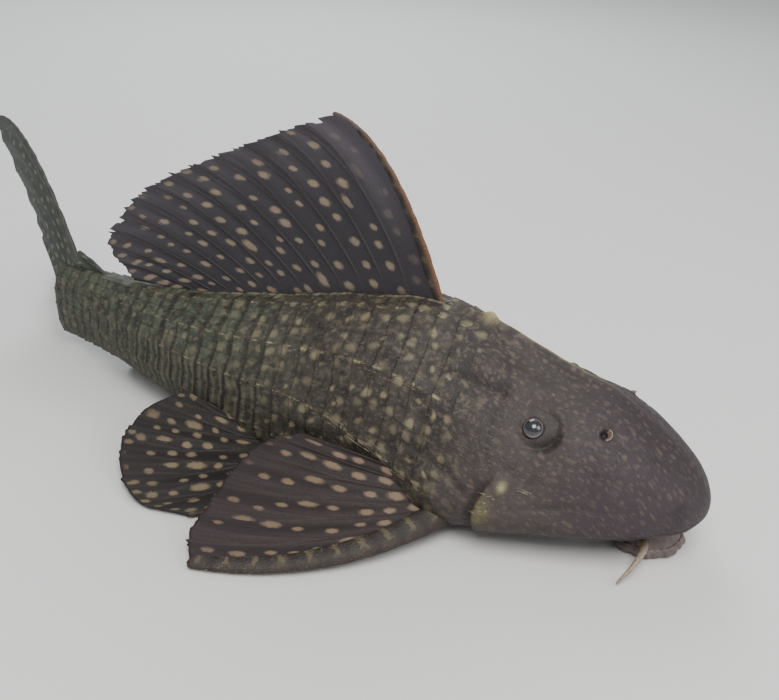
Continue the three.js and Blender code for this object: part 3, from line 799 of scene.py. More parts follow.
class Shader:
    """One material: a Principled surface and the nodes that feed it."""

    def __init__(self, name: str, **constants: Input) -> None:
        """Starts a material.

        Args:
            name: Name of the material.
            constants: Principled sockets that are the same all over, with _ for a space.
        """
        self.material = bpy.data.materials.new(name)
        self.material.use_nodes = True
        self.tree = self.material.node_tree
        self.surface = self.tree.nodes["Principled BSDF"]
        for key, value in constants.items():
            self.feed(key.replace("_", " "), value)

    def plug(self, socket: bpy.types.NodeSocket, item: Input) -> None:
        """Links a value or a socket to a socket, or sets a number or a colour there."""
        if isinstance(item, Value):
            item = item.socket
        if isinstance(item, bpy.types.NodeSocket):
            self.tree.links.new(item, socket)
        else:
            socket.default_value = (*item, 1.0) if isinstance(item, tuple) else item

    def feed(self, name: str, item: Input) -> None:
        """Plugs something into a socket of the surface."""
        self.plug(self.surface.inputs[name], item)

    def node(self, kind: str, settings: Settings, inputs: Inputs) -> bpy.types.Node:
        """Adds a node.

        Args:
            kind: Blender's name of the node's type.
            settings: Its settings, set before its sockets.
            inputs: What goes into its sockets, by name or number.

        Returns:
            The node.
        """
        made = self.tree.nodes.new(kind)
        for key, value in settings.items():
            setattr(made, key, value)
        for key, item in inputs.items():
            self.plug(made.inputs[key], item)
        return made

    def value(self, kind: str, settings: Settings, inputs: Inputs, output: Union[str, int] = 0) -> Value:
        """Adds a node and wraps one of its outputs."""
        return Value(self, self.node(kind, settings, inputs).outputs[output])

    def attribute(self, name: str) -> Value:
        """Number stored on the mesh under a name."""
        return self.value("ShaderNodeAttribute", {"attribute_name": name}, {}, "Fac")

    def attributes(self, *names: str) -> list[Value]:
        """Numbers stored on the mesh under names."""
        return [self.attribute(name) for name in names]

    def place(self) -> bpy.types.NodeSocket:
        """Object coordinates in metres."""
        return self.node("ShaderNodeTexCoord", {}, {}).outputs["Object"]

    def noise(self, size: float, detail: float = 3, distortion: float = 0) -> Value:
        """Noise between 0 and 1 with features of about a size in metres."""
        inputs = {"Vector": self.place(), "Scale": 1 / size, "Detail": detail, "Distortion": distortion}
        return self.value("ShaderNodeTexNoise", {}, inputs)

    def streaks(self, across: Value, along: Value) -> Value:
        """Noise drawn out along the rays of a fin."""
        inputs = {"Vector": self.vector(across, along), "Scale": 1.0, "Detail": 2}
        return self.value("ShaderNodeTexNoise", {}, inputs)

    def grains(self, size: float) -> Value:
        """Height of round grains about a size apart in metres, 1 at their middles."""
        inputs = {"Vector": self.place(), "Scale": 1 / size}
        return 1 - self.value("ShaderNodeTexVoronoi", {}, inputs, "Distance")

    def vector(self, x: Number, y: Number, z: Number = 0.0) -> bpy.types.NodeSocket:
        """Vector of three numbers."""
        return self.node("ShaderNodeCombineXYZ", {}, {"X": x, "Y": y, "Z": z}).outputs[0]

    def parts(self, colour: bpy.types.NodeSocket) -> list[Value]:
        """The three numbers of a colour."""
        split = self.node("ShaderNodeSeparateColor", {}, {"Color": colour})
        return [Value(self, split.outputs[index]) for index in range(3)]

    def dice(self, x: Number, y: Number, z: Number = 0.0) -> list[Value]:
        """Three random numbers from 0 to 1 that belong to a place."""
        inputs = {"Vector": self.vector(x, y, z)}
        noise = self.node("ShaderNodeTexWhiteNoise", {"noise_dimensions": "3D"}, inputs)
        return self.parts(noise.outputs["Color"])

    def mix(self, under: Input, over: Input, share: Number) -> bpy.types.NodeSocket:
        """Mix of two colours."""
        return self.node("ShaderNodeMix", {"data_type": "RGBA"}, {0: share, 6: under, 7: over}).outputs[2]

    def coats(self, ground: Input, *coats: tuple[Colour, Number]) -> bpy.types.NodeSocket:
        """Colour under coats of other colours, each given with the share by which it covers."""
        for colour, share in coats:
            ground = self.mix(ground, colour, share)
        return ground

    def bump(self, height: Value, distance: float, strength: float) -> None:
        """Raises the surface by a height between 0 and 1 times a distance in metres."""
        made = self.node("ShaderNodeBump", {}, {"Height": height, "Distance": distance, "Strength": strength})
        self.feed("Normal", made.outputs[0])


@dataclass(frozen=True)
class SkinFinish:
    """Armoured skin: mottled olive brown with pale spots, smaller and closer on the head, with painted shade
    in its hollows and creases and painted highlights on its keels and crest.
    """

    ground: Colour = srgb(66, 61, 54)
    shade: Colour = srgb(30, 26, 26)
    light: Colour = srgb(88, 82, 68)
    spot: Colour = srgb(124, 116, 92)
    tail: Colour = srgb(67, 76, 63)
    head: Colour = srgb(56, 47, 51)
    mark: Colour = srgb(92, 81, 71)
    corner: Colour = srgb(110, 105, 68)
    # pale bone colour, also used for the painted highlights on the keels and along the crest of the head
    bone: Colour = srgb(168, 158, 116)
    belly: Colour = srgb(96, 88, 74)
    trunk_cell: float = 6.2
    trunk_spot: float = 1.15
    head_cell: float = 3.2
    head_spot: float = 0.5
    fleck_cell: float = 2.1
    fleck_spot: float = 0.4
    spot_scatter: float = 0.75

    def spots(self, shader: Shader, where: Input, cell: float, radius: float, ragged: Value) -> Value:
        """Spots scattered about a cell apart.

        Args:
            shader: The shader they belong to.
            where: Place on the skin in millimetres.
            cell: Distance between spots.
            radius: Their usual radius.
            ragged: Unevenness of their edges, about -0.5 to 0.5.

        Returns:
            1 inside a spot and 0 outside.
        """
        inputs = {"Vector": where, "Scale": 1 / cell, "Randomness": self.spot_scatter}
        made = shader.node("ShaderNodeTexVoronoi", {"voronoi_dimensions": "2D"}, inputs)
        dice = shader.parts(made.outputs["Color"])
        size = (dice[0] * 0.8 + 0.55) * (radius / cell)
        distance = Value(shader, made.outputs["Distance"]) / size + ragged
        return distance.step(1.7, 0.45) * (dice[1] * 0.75 + 0.25)

    def material(self) -> bpy.types.Material:
        """Makes the material; it reads plate, row, station, girth, relief, corner and nape."""
        shader = Shader("armoured_skin", Specular_IOR_Level=0.3)
        names = ("plate", "row", "station", "girth", "relief", "corner", "nape")
        plate, row, station, girth, relief, corner, knob = shader.attributes(*names)
        mottle = shader.noise(0.007, 4)
        patch = shader.noise(0.0034, 3, 0.8)
        fine = shader.noise(0.0011, 3)
        sway = shader.noise(0.0045, 2)

        # Regions of the body, and the place inside a plate
        share, across = plate % 1, row % 1
        on_trunk = plate.step(-0.5, 1.6)
        on_head = 1 - on_trunk
        shoulder = plate.step(-1.5, 0.5) * plate.step(9.0, 4.0)
        nape = station.step(20.0, 25.0) * plate.step(3.5, 1.0) * row.step(2.6, 1.4)
        rear = station.step(48.0, 62.0)
        low_rear = row.step(1.9, 2.8) * rear
        armoured = plate.step(0.4, 2.4) * row.step(5.9, 5.2)
        barred_part = low_rear * armoured * station.step(90.0, 72.0)
        from_keel = (across - 0.5).absolute()

        # Spots and flecks
        length = station * (UNIT / MM)
        ragged = (fine - 0.5) * 0.9 + (patch - 0.5) * 1.2
        drift = shoulder * 3.0 + 2.0
        where = shader.vector(length + sway * drift, girth + mottle * drift)
        streaked = shader.vector(length * 0.7 + sway * 3.0, girth + mottle * 3.0)
        trunk_spots = self.spots(shader, where, self.trunk_cell, self.trunk_spot, ragged * 0.6)
        head_spots = self.spots(shader, streaked, self.head_cell, self.head_spot, ragged)
        flecks = self.spots(shader, streaked, self.fleck_cell, self.fleck_spot, ragged)
        faint = on_head * (mottle * 0.8 + 0.12) * (station.step(3.0, 15.0) * 0.6 + 0.4)
        pale = nape * (patch + fine * 0.8 + mottle * 0.3).step(1.1, 1.3)

        # Marks that follow the plates, with painted shade in their creases and painted highlights on their
        # keels
        edge = (share - low_rear * 0.2).step(0.12, 0.0).highest(share.step(0.97, 1.0))
        groove = edge * armoured * (low_rear.highest(rear * 0.6) * 0.5 + 0.15 + patch * 0.3)
        seam = from_keel.step(0.455, 0.5) * armoured
        keel = from_keel.step(0.03, 0.008) * armoured
        keel_pale_and_glint = (fine * 1.4 + patch * 1.6 - 1.25).within(0.0, 0.6)
        shaded = (share + (patch - 0.5) * 1.2 + (fine - 0.5) * 0.4).step(0.5, 0.2) * rear * armoured
        curved = share * 2 + (across - 0.5) ** 2 * 0.7 + sway * 0.9 + fine * 0.35
        bar = (curved * (2 * math.pi)).sine().step(-0.3, 0.8)
        gap = (1 - bar) * barred_part * (0.3 + patch * 0.4)
        ledge = (row - 0.13).absolute().step(0.045, 0.015)
        ledge = ledge * station.step(33.0, 36.0) * station.step(73.0, 69.0)
        ledge = ledge * share.step(0.0, 0.15) * share.step(0.98, 0.8)

        contrast = (patch * 1.5 + mottle * 0.8 + fine * 0.4 - 0.85).within(0.0, 1.0)
        ground = shader.mix(self.ground, self.tail, station.step(42.0, 68.0) * 0.9)
        base = shader.mix(self.shade, ground, (contrast * (rear * 0.3 + 1)).lowest(1.0))
        trunk_tone = shader.mix(base, self.light, (patch + fine * 0.5).step(0.78, 1.02) * 0.45)
        head_tone = shader.coats(
            self.head,
            (self.ground, station.step(9.0, 19.0) * 0.4),
            (self.shade, (mottle + patch * 0.5).step(0.72, 0.45) * 0.5),
        )
        shader.feed("Base Color", shader.coats(
            shader.mix(head_tone, trunk_tone, on_trunk),
            (self.shade, (row.step(2.4, 0.4) * on_head * 0.38).highest(nape * 0.52)),
            (self.mark, pale * 0.55),
            (self.mark, flecks * (0.5 + rear * 0.35)),
            (self.spot, trunk_spots * on_trunk * row.step(6.2, 4.6) * (0.8 - rear * 0.35)),
            (self.mark, head_spots * faint),
            (self.shade, gap.highest(shaded * (1 - barred_part) * 0.55)),
            (self.light, bar * barred_part * (fine * 0.6 + patch * 0.4)),
            # painted shade in the creases at the plate edges and along the row seams
            (self.shade, groove.highest(seam * 0.4)),
            # pale odontode bone on the keels, partly a painted highlight on the keel ridges, broken up by
            # noise
            (self.bone, keel * keel_pale_and_glint * share.step(0.35, 0.8) * station.step(92.0, 60.0)),
            (self.spot, ledge * (patch * 2.2 - 0.7).highest(0.0)),
            # painted shade: darker where the relief sinks into hollows, such as the eye sockets, grooves and
            # the gill opening
            (self.shade, relief.step(-0.25, -1.8) * 0.6),
            (self.corner, corner * (mottle + fine * 1.6 - 0.75).highest(0.0)),
            # pale bone of the nape knob and cheek point, and a painted highlight along the crest of the head
            (self.bone, knob * (fine * 0.7 + 0.4)),
            (self.belly, row.step(5.0, 6.4) * (mottle * 0.4 + 0.5)),
        ))
        shader.feed("Roughness", 0.46 + fine * 0.28)
        shader.bump(shader.grains(0.00055) * 0.5 + fine * 0.5 + sway * 0.1, 0.00025, 0.85)
        return shader.material


@dataclass(frozen=True)
class FinFinish:
    """Fin web with rays: near black with lanes of tan spots between the rays."""

    name: str
    web: Colour = srgb(48, 46, 50)
    ray: Colour = srgb(58, 52, 52)
    spot: Colour = srgb(120, 107, 92)
    tip: Colour = srgb(80, 75, 82)
    tip_share: float = 0.7
    rim_share: float = 0.0
    pitch: float = 7.8
    radius: float = 1.55
    stretch: float = 1.1
    long_share: float = 0.1
    lanes: int = 1
    bare: float = 0.0
    stagger: float = 0.5
    jitter: float = 0.8
    odd: float = 3.0

    def lane_spots(self, shader: Shader, across: Value, along: Value, gap: Value, fine: Value) -> Value:
        """Rows of spots, one to a lane.

        Args:
            shader: The shader they belong to.
            across: Place across the fin, whole on each ray.
            along: Distance from the root in millimetres.
            gap: Distance between two rays in millimetres.
            fine: Noise that frays their edges.

        Returns:
            1 inside a spot and 0 outside.
        """
        lane = across * self.lanes + (self.lanes - 1) * 0.5
        width = gap / self.lanes
        column = lane.floor()
        shift = shader.dice(column, self.odd)
        moved = along / self.pitch + (column % 2) * self.stagger + shift[0] * 0.45
        row = moved.floor()
        dice = shader.dice(column, row, self.odd)
        size = (0.75 + dice[2] * 0.45) * self.radius
        wide = size.lowest(width * 0.32)
        drawn = 1 + dice[0].step(1 - self.long_share, 1.02 - self.long_share) * 0.8
        long = (size * (size / wide).root() * self.stretch * drawn).lowest(self.pitch * 0.34)
        spare = (width * 0.5 - wide * 1.3).highest(0.0)
        room = (self.pitch * 0.5 - long * 1.3).highest(0.0)
        sideways = (lane - column - 0.5) * width - (dice[0] - 0.5) * 2 * self.jitter * spare
        lengthways = (moved - row - 0.5) * self.pitch - (dice[1] - 0.5) * 2 * self.jitter * room
        distance = ((sideways / wide) ** 2 + (lengthways / long) ** 2).root() + (fine - 0.5) * 0.8
        return distance.step(1.45, 0.6)

    def rim_dots(self, shader: Shader, across: Value, gap: Value, reach: Value, fine: Value) -> Value:
        """Small dots along the margin, three to a ray and some of them missing.

        Args:
            shader: The shader they belong to.
            across: Place across the fin, whole on each ray.
            gap: Distance between two rays in millimetres.
            reach: Share of the fin's length, 1 at the margin.
            fine: Noise that frays their edges.

        Returns:
            1 inside a dot and 0 outside.
        """
        per_ray, place, steepness = 3, 0.955, 45
        sideways = ((across * per_ray) % 1 - 0.5) * gap / per_ray
        inset = (reach - place) * steepness
        dot = ((sideways ** 2 + inset ** 2).root() + (fine - 0.5) * 0.8).step(1.3, 0.6)
        dice = shader.dice((across * per_ray).floor(), self.odd)
        return dot * dice[0].step(0.4, 0.6)

    def material(self) -> bpy.types.Material:
        """Makes the material; it reads the attributes across, along, gap, reach and ray."""
        shader = Shader(self.name, Specular_IOR_Level=0.25)
        across, along, gap, reach, ray = shader.attributes("across", "along", "gap", "reach", "ray")
        fine = shader.noise(0.0013, 3)
        mottle = shader.noise(0.008, 3)
        spot = self.lane_spots(shader, across, along, gap, fine)
        spot = spot * reach.step(0.01, 0.07) * reach.step(0.985, 0.93)
        if self.lanes > 1:
            on_ray = ((across * 2 + 0.5).floor() % 2) * -1 + 1
            spot = spot * (1 - on_ray * reach.step(0.48, 0.4))
        outer = reach.step(0.35, 1.0) * (shader.streaks(across * 2.6, along * 0.05) * 1.6 - 0.3).highest(0.0)
        tone = shader.coats(
            self.web,
            (self.ray, ray * 0.6 + (mottle - 0.4).highest(0.0) * 0.5),
            (self.tip, (outer * self.tip_share).lowest(0.9)),
        )
        if self.bare > 0:
            spot = spot * (0.25 + 0.75 * across.step(self.bare - 0.04, self.bare + 0.04))
            band = across.step(self.bare * 1.3, self.bare * 0.6) * reach.step(0.1, 0.5)
            tone = shader.mix(tone, self.tip, band * 0.45)
        faded = spot * (0.75 + mottle * 0.35) * (1 - ray * 0.2) * (1 - reach.step(0.7, 1.0) * 0.3)
        shader.feed("Base Color", shader.coats(
            tone,
            (self.spot, faded.lowest(1.0)),
            (self.spot, self.rim_dots(shader, across, gap, reach, fine) * self.rim_share),
        ))
        shader.feed("Roughness", 0.5 + fine * 0.28)
        joints = (along * 6.5).sine() * ray
        shader.bump(fine * 0.7 + joints * 0.08 + 0.2, 0.00028, 0.8)
        return shader.material


@dataclass(frozen=True)
class SpineFinish:
    """Stout fin spine: brown with pale blotches on its web side and an orange leading edge."""

    name: str
    ground: Colour = srgb(50, 44, 40)
    blotch: Colour = srgb(108, 98, 74)
    dark: Colour = srgb(30, 26, 26)
    edge: Colour = srgb(116, 78, 48)
    edge_share: float = 0.6
    blotch_pitch: float = 0.0087
    blotch_share: float = 0.6

    def material(self) -> bpy.types.Material:
        """Makes the material; it reads the attributes along in metres and facing, 1 toward the web."""
        shader = Shader(self.name, Roughness=0.5, Specular_IOR_Level=0.35)
        along, facing = shader.attributes("along", "facing")
        front = (0 - facing).highest(0.0) ** 1.5
        fine = shader.noise(0.0013, 3)
        mottle = shader.noise(0.005, 3)
        wave = ((along / self.blotch_pitch + mottle * 0.6) * (2 * math.pi)).sine()
        blotch = (wave + (fine - 0.5) * 1.2).step(0.5, 1.0) * (facing + (fine - 0.5)).step(-0.55, 0.0)
        dark = (wave + (fine - 0.5) * 1.4).step(-0.1, -0.9)
        shader.feed("Base Color", shader.coats(
            self.ground,
            (self.dark, dark * 0.4 + (mottle - 0.4).highest(0.0)),
            (self.edge, front * self.edge_share),
            (self.blotch, blotch * self.blotch_share),
        ))
        shader.feed("Roughness", 0.5 + fine * 0.25)
        shader.bump(shader.grains(0.0007) * 0.7 + fine * 0.3, 0.0003, 0.8)
        return shader.material


@dataclass(frozen=True)
class PlainFinish:
    """Small fleshy or bony parts: one colour broken up by a second."""

    name: str
    ground: Colour
    fleck: Colour
    size: float = 0.001
    roughness: float = 0.45
    bump: float = 0.00015

    def material(self) -> bpy.types.Material:
        """Makes the material."""
        shader = Shader(self.name, Specular_IOR_Level=0.45)
        fine = shader.noise(self.size, 3)
        broad = shader.noise(self.size * 6, 2)
        flecked = (fine * 0.6 + broad * 0.5).step(0.42, 0.7)
        shader.feed("Base Color", shader.mix(self.ground, self.fleck, flecked))
        shader.feed("Roughness", self.roughness + (fine - 0.5) * 0.2)
        shader.bump(fine, self.bump, 0.8)
        return shader.material


@dataclass(frozen=True)
class EyeFinish:
    """Eyeball: dark pupil with the iris lobe over it, in a pale ring, under a clear wet coat."""

    pupil: Colour = srgb(12, 15, 24)
    iris: Colour = srgb(56, 50, 52)
    ring: Colour = srgb(92, 84, 82)
    white: Colour = srgb(40, 34, 35)

    def material(self) -> bpy.types.Material:
        """Makes the material; it reads the attributes polar and lobe."""
        wet = {"Coat_Weight": 1.0, "Coat_Roughness": 0.03, "Specular_IOR_Level": 0.6, "Roughness": 0.25}
        shader = Shader("eyeball", **wet)
        polar, lobe = shader.attributes("polar", "lobe")
        fine = shader.noise(0.0006, 4)
        wobble = polar + (fine - 0.5) * 0.05
        outer = shader.mix(self.ring, self.white, wobble.step(0.9, 1.02))
        iris = shader.mix(self.iris, outer, wobble.step(0.74, 0.82))
        opening = (wobble + lobe * 0.2).step(0.76, 0.7)
        shader.feed("Base Color", shader.mix(iris, self.pupil, opening))
        return shader.material


# Skin

@dataclass(frozen=True)
class Skin:
    """Head, trunk and tail as one closed skin with its armour, head bones, sockets and nostrils.

    The cap that closes it behind has rings given by their share of its length, width and height.
    """

    columns_per_row: tuple = (20, 22, 22, 12, 10, 8, 6)
    head_rings: int = 124
    head_spacing: float = 1.25
    plate_shares: tuple = (0.0, 0.03, 0.1, 0.22, 0.36, 0.5, 0.64, 0.78, 0.89, 0.955, 0.985)
    snout_length: float = 1.5
    cap_length: float = 6.0
    cap_rings: tuple = (
        (0.05, 0.9, 0.95), (0.2, 0.72, 0.92), (0.4, 0.5, 0.88), (0.65, 0.3, 0.83), (0.85, 0.16, 0.77),
        (0.97, 0.06, 0.7), (1.0, 0.0, 0.0),
    )

    def column_rows(self) -> tuple[Array, Array]:
        """Row coordinate and side of each column, from the belly up the left and down the right."""
        rows = np.concatenate([
            *(k + np.arange(count) / count for k, count in enumerate(self.columns_per_row)),
            [len(self.columns_per_row)],
        ])
        left, right = rows[::-1], rows[1:]
        hands = np.concatenate([np.ones(len(left)), -np.ones(len(right))])
        return np.concatenate([left, right]), hands

    def ring_plates(self) -> Array:
        """Plate coordinate of each ring; on the head it runs below zero by station."""
        share = np.arange(self.head_rings) / self.head_rings
        head = -(HEAD_END / FIRST_PITCH) * (1 - share ** self.head_spacing)
        trunk = (np.arange(PLATE_COUNT)[:, None] + np.array(self.plate_shares)).ravel()
        return np.concatenate([head, trunk, [PLATE_COUNT - 1e-4]])

    def bone_and_crest_highlight(self, s: Array, side: Array) -> Array:
        """Strength of the pale marks: bare bone at the knob of the nape and a point of the cheek, and a
        painted highlight along the crest.
        """
        knob = hump(s, 28.8, 0.8) * hump(side, 90, 6)
        # painted highlight along the crest of the head
        crest = 0.5 * hump(s, 20, 8.0) * hump(side, 90, 1.3)
        cheek = 0.8 * hump(s, 21.3, 0.45) * hump(side, 21, 2.2)
        return np.minimum(knob + crest + cheek, 1.0)

    def cap(self, end: Array) -> Array:
        """Rings that close the skin behind its last ring, inside the root of the tail fin."""
        middle = end.mean(axis=0)
        back = BODY.tailward(TAIL_STATION)
        lateral = np.array([back[1], -back[0], 0.0])
        aside = ((end - middle) @ lateral)[:, None] * lateral
        upright = end - middle - aside
        return np.stack([
            middle + aside * wide + upright * tall + back * reach * self.cap_length * MM
            for reach, wide, tall in self.cap_rings
        ])

    def build(self) -> bpy.types.Object:
        """Models the skin.

        Returns:
            The closed piece with the attributes that its material reads.
        """
        rows, hands = self.column_rows()
        plate, row = np.meshgrid(self.ring_plates(), rows, indexing="ij")
        hand = np.broadcast_to(hands, plate.shape)
        fade = smooth(0.0, 1.0, plate) * smooth(PLATE_COUNT, PLATE_COUNT - 1, plate)
        s = np.maximum(plate_station(plate + ARMOUR.swing(row) * fade), 0.0)
        side = BODY.row_height(row, s)
        bare = BODY.point(s, side, hand)
        relief = skin_relief(s, side, row, plate, bare) * smooth(0, self.snout_length, s)
        points = bare + BODY.normal(s, side, hand) * relief[..., None] * MM
        points[..., 2] = np.maximum(points[..., 2], 0.0)
        points[0] = BODY.beside(0.0, 0.0, SECTIONS[0].wide * UNIT)
        steps = np.linalg.norm(np.diff(bare, axis=1), axis=-1) / MM
        around = np.concatenate([np.zeros((len(bare), 1)), np.cumsum(steps, axis=1)], axis=1)
        read = {
            "plate": plate, "row": row, "station": s, "relief": relief,
            "girth": around - around[:, [np.argmin(rows)]],
            "corner": hump(s, 23.2, 1.2) * hump(side, 3, 13) * (s < GILL_COVER.edge(side)),
            "nape": self.bone_and_crest_highlight(s, side),
        }
        behind = len(self.cap_rings)
        return closed(sheet(
            "skin", np.concatenate([points, self.cap(points[-1])]),
            **{name: np.concatenate([values, *[values[-1:]] * behind]) for name, values in read.items()},
        ))


# Fins

@dataclass(kw_only=True)
class Web:
    """Closed web ruled by rays that leave a root line, bow and end on a ragged tip line.

    A place across the fin is u, from the spine at 0 to the last ray at 1; along a ray it is v.
    """

    name: str
    rays: int
    spine_share: float
    web_half: float = 0.26
    ray_half: float = 0.8
    per_ray: int = 24
    along_count: int = 72
    notch: float = 0.03
    teeth: float = 2.0
    seed: int = 3
    split_at: float = 0.42
    spread: float = 0.15
    branch_width: float = 0.06
    root_half: float = 0.8
    root_length: float = 0.16
    billow: float = 0.35
    clearance: float = 0.4

    def root(self, u: Array) -> Array:
        """Root line."""
        raise NotImplementedError

    def tip(self, u: Array) -> Array:
        """Tip line."""
        raise NotImplementedError

    def bend(self, u: Array) -> Array:
        """Control points that bow the rays."""
        raise NotImplementedError

    def point(self, u: Array, v: Array) -> Array:
        """Points of the web's middle surface."""
        v = v[..., None]
        return self.root(u) * (1 - v) ** 2 + self.bend(u) * 2 * v * (1 - v) + self.tip(u) * v ** 2

    def ray_coordinate(self, u: Array) -> Array:
        """Place across counted in rays: 0 at the rear of the spine, whole on each ray."""
        return (u - self.spine_share) / (1 - self.spine_share) * self.rays

    def branches(self, v: Array) -> list[Array]:
        """Sideways places of the four branches of a ray, in ray spacings."""
        first = self.spread * smooth(self.split_at, self.split_at + 0.35, v)
        second = self.spread / 2 * smooth(self.split_at + 0.28, self.split_at + 0.55, v)
        return [a * first + b * second for a in (-1, 1) for b in (-1, 1)]

    def ridge(self, across: Array, v: Array) -> Array:
        """Height of the rays over the web, 0 to 1."""
        nearest = across - np.round(across)
        heights = [hump(nearest, place, self.branch_width) for place in self.branches(v)]
        return np.where(across > 0.5, np.max(heights, axis=0), 0.0)

    def margin(self, across: Array) -> Array:
        """Share of the full length that the web reaches at each place across, in ragged teeth."""
        rng = np.random.default_rng(self.seed)
        place = (across + 1) * self.teeth + 0.35
        place = place + (0.3 * np.sin(place * 2.4) + 0.25 * np.sin(place * 0.9 + 1)) * (self.teeth > 2)
        cell = place.astype(int)
        height = rng.uniform(0.1, 1.0, size=cell.max() + 1)[cell]
        torn = (rng.uniform(size=cell.max() + 1) < 0.12)[cell]
        share = place - cell
        peak = 0.85
        saw = np.where(share < peak, (share / peak) ** 1.5, (1 - share) / (1 - peak))
        return 1 - self.notch * (1 + 0.8 * torn) * (1 - height * saw)

    def half(self, u: Array, v: Array) -> Array:
        """Half thickness in millimetres."""
        web = self.web_half * lerp(1.3, 0.8, v)
        ray = self.ray_half * lerp(1.0, 0.4, v) * self.ridge(self.ray_coordinate(u), v)
        return np.maximum(web + self.root_half * smooth(self.root_length, 0.0, v), ray)

    def build(self) -> bpy.types.Object:
        """Models the web with its rays as one closed sheet."""
        count = int(self.per_ray * self.rays * (1 + self.spine_share)) + 1
        u, v = np.meshgrid(np.linspace(0, 1, count), np.linspace(0, 1, self.along_count), indexing="ij")
        across = self.ray_coordinate(u)
        v = v * self.margin(across[:, 0])[:, None]
        points = self.point(u, v)
        over, along = np.gradient(points, axis=(0, 1))
        billow = self.billow * np.sin(2 * np.pi * across) * smooth(0.1, 0.6, v)
        points = points + unit(np.cross(over, along)) * billow[..., None] * MM
        points[..., 2] = np.maximum(points[..., 2], self.clearance * MM)
        piece = sheet(
            self.name, points, across=across, reach=v, ray=self.ridge(across, v),
            along=np.cumsum(np.linalg.norm(along, axis=-1), axis=1) / MM,
            gap=np.linalg.norm(over, axis=-1) / MM * (count - 1) * (1 - self.spine_share) / self.rays,
        )
        self.thicken(piece, self.half(u, v))
        return piece

    def thicken(self, piece: bpy.types.Object, half: Array) -> None:
        """Gives the sheet its thickness, which changes from place to place."""
        thickest = float(half.max())
        group = piece.vertex_groups.new(name="thickness")
        weights = np.round((half / thickest).ravel(), 2)
        for weight in np.unique(weights):
            group.add(np.nonzero(weights == weight)[0].tolist(), float(weight), "REPLACE")
        apply_modifier(
            piece, "SOLIDIFY", thickness=2 * thickest * MM, offset=0, use_even_offset=False,
            vertex_group=group.name, thickness_vertex_group=0.0, use_rim=True,
        )
        piece.vertex_groups.clear()
        outward(piece)
        shade_smooth(piece)


@dataclass(kw_only=True)
class Fin(Web):
    """Fin whose root and tip lines run through points, in metres."""

    root_points: Array
    tip_points: Array
    bow_front: Array
    bow_back: Array
    bow_power: float = 1.0

    def root(self, u: Array) -> Array:
        """Root line."""
        return spline(self.root_points, u)

    def tip(self, u: Array) -> Array:
        """Tip line."""
        return spline(self.tip_points, u)

    def bend(self, u: Array) -> Array:
        """Control points that bow the rays."""
        share = (u ** self.bow_power)[..., None]
        return (self.root(u) + self.tip(u)) / 2 + lerp(self.bow_front, self.bow_back, share)


def dorsal_fin() -> Fin:
    """The tall sail on the back, flat behind its base while the tail bends away."""
    base_end, sunk = 70.5, 0.9
    root = ((34.8, 24.2), (44.5, 22.7), (53.5, 20.6), (62.5, 18.4), (base_end, 16.3))
    tip = ((50.1, 44.2), (58.5, 40.4), (67.4, 35.8), (75.2, 31.6), (81.8, 26.2), (85.4, 20), (81, 15.4))

    def place(s: float, up: float) -> Array:
        """Point over the back, or straight behind the fin's base."""
        foot = BODY.beside(min(s, base_end), 0.0, up * UNIT)
        return foot + BODY.tailward(base_end) * max(s - base_end, 0) * UNIT
    return Fin(
        name="dorsal_web", rays=13, spine_share=0.02,
        root_points=np.array([place(s, up - sunk) for s, up in root]),
        tip_points=np.array([place(s, up) for s, up in tip]),
        bow_front=np.array([0.5, 0, 9.2]) * UNIT, bow_back=np.array([0.8, 0, 0.8]) * UNIT, bow_power=0.7,
        per_ray=27, along_count=84, notch=0.04, teeth=3.0,
    )


@dataclass(kw_only=True)
class CaudalFin(Web):
    """Tail fin: rays fan between a long upper and lower lobe and swing to the fish's left."""

    name: str = "caudal_web"
    rays: int = 15
    spine_share: float = 0.03
    per_ray: int = 20
    along_count: int = 64
    notch: float = 0.05
    ray_half: float = 0.9
    seed: int = 5
    sunk_top: float = 5.0
    sunk_low: float = 0.6
    root_top: float = 12.6
    root_low: float = 2.5
    upper_length: float = 36.5
    middle_length: float = 12.5
    lower_length: float = 30.0
    fork: float = 2.2
    upper_rise: float = 24.0
    lower_rise: float = -3.0
    upper_turn: float = 28.4
    lower_turn: float = 47.0
    early_turn: float = 0.75
    arch: float = 16.0

    def root(self, u: Array) -> Array:
        """Root line down the end of the tail, started ahead of it on the back."""
        s = TAIL_STATION - lerp(self.sunk_top, self.sunk_low, np.minimum(3 * u, 1))
        return BODY.beside(s, 0.0, lerp(self.root_top, self.root_low, u) * UNIT)

    def tip_turn(self, u: Array) -> Array:
        """Heading of each ray at its tip, in radians."""
        return np.radians(lerp(self.upper_turn, self.lower_turn, u))

    def reach(self, u: Array, share: float, turn: Array) -> Array:
        """Point at a share of each ray's length on a heading."""
        lobe = np.where(u < 0.5, self.upper_length, self.lower_length)
        outward_share = smooth(0, 1, 2 * np.abs(u - 0.5)) ** self.fork
        length = lerp(self.middle_length, lobe, outward_share) * UNIT * share
        rise = np.radians(lerp(self.upper_rise, self.lower_rise, u))
        level = length * np.cos(rise)
        step = np.stack([-level * np.cos(turn), level * np.sin(turn), length * np.sin(rise)], axis=-1)
        return self.root(u) + step

    def tip(self, u: Array) -> Array:
        """Tip line, forked."""
        return self.reach(u, 1.0, self.tip_turn(u))

    def bend(self, u: Array) -> Array:
        """Control points half way out, with the topmost arched up."""
        control = self.reach(u, 0.5, lerp(BODY.turn(TAIL_STATION), self.tip_turn(u), self.early_turn))
        control[..., 2] += self.arch * np.maximum(1 - 3 * u, 0) * UNIT
        return control


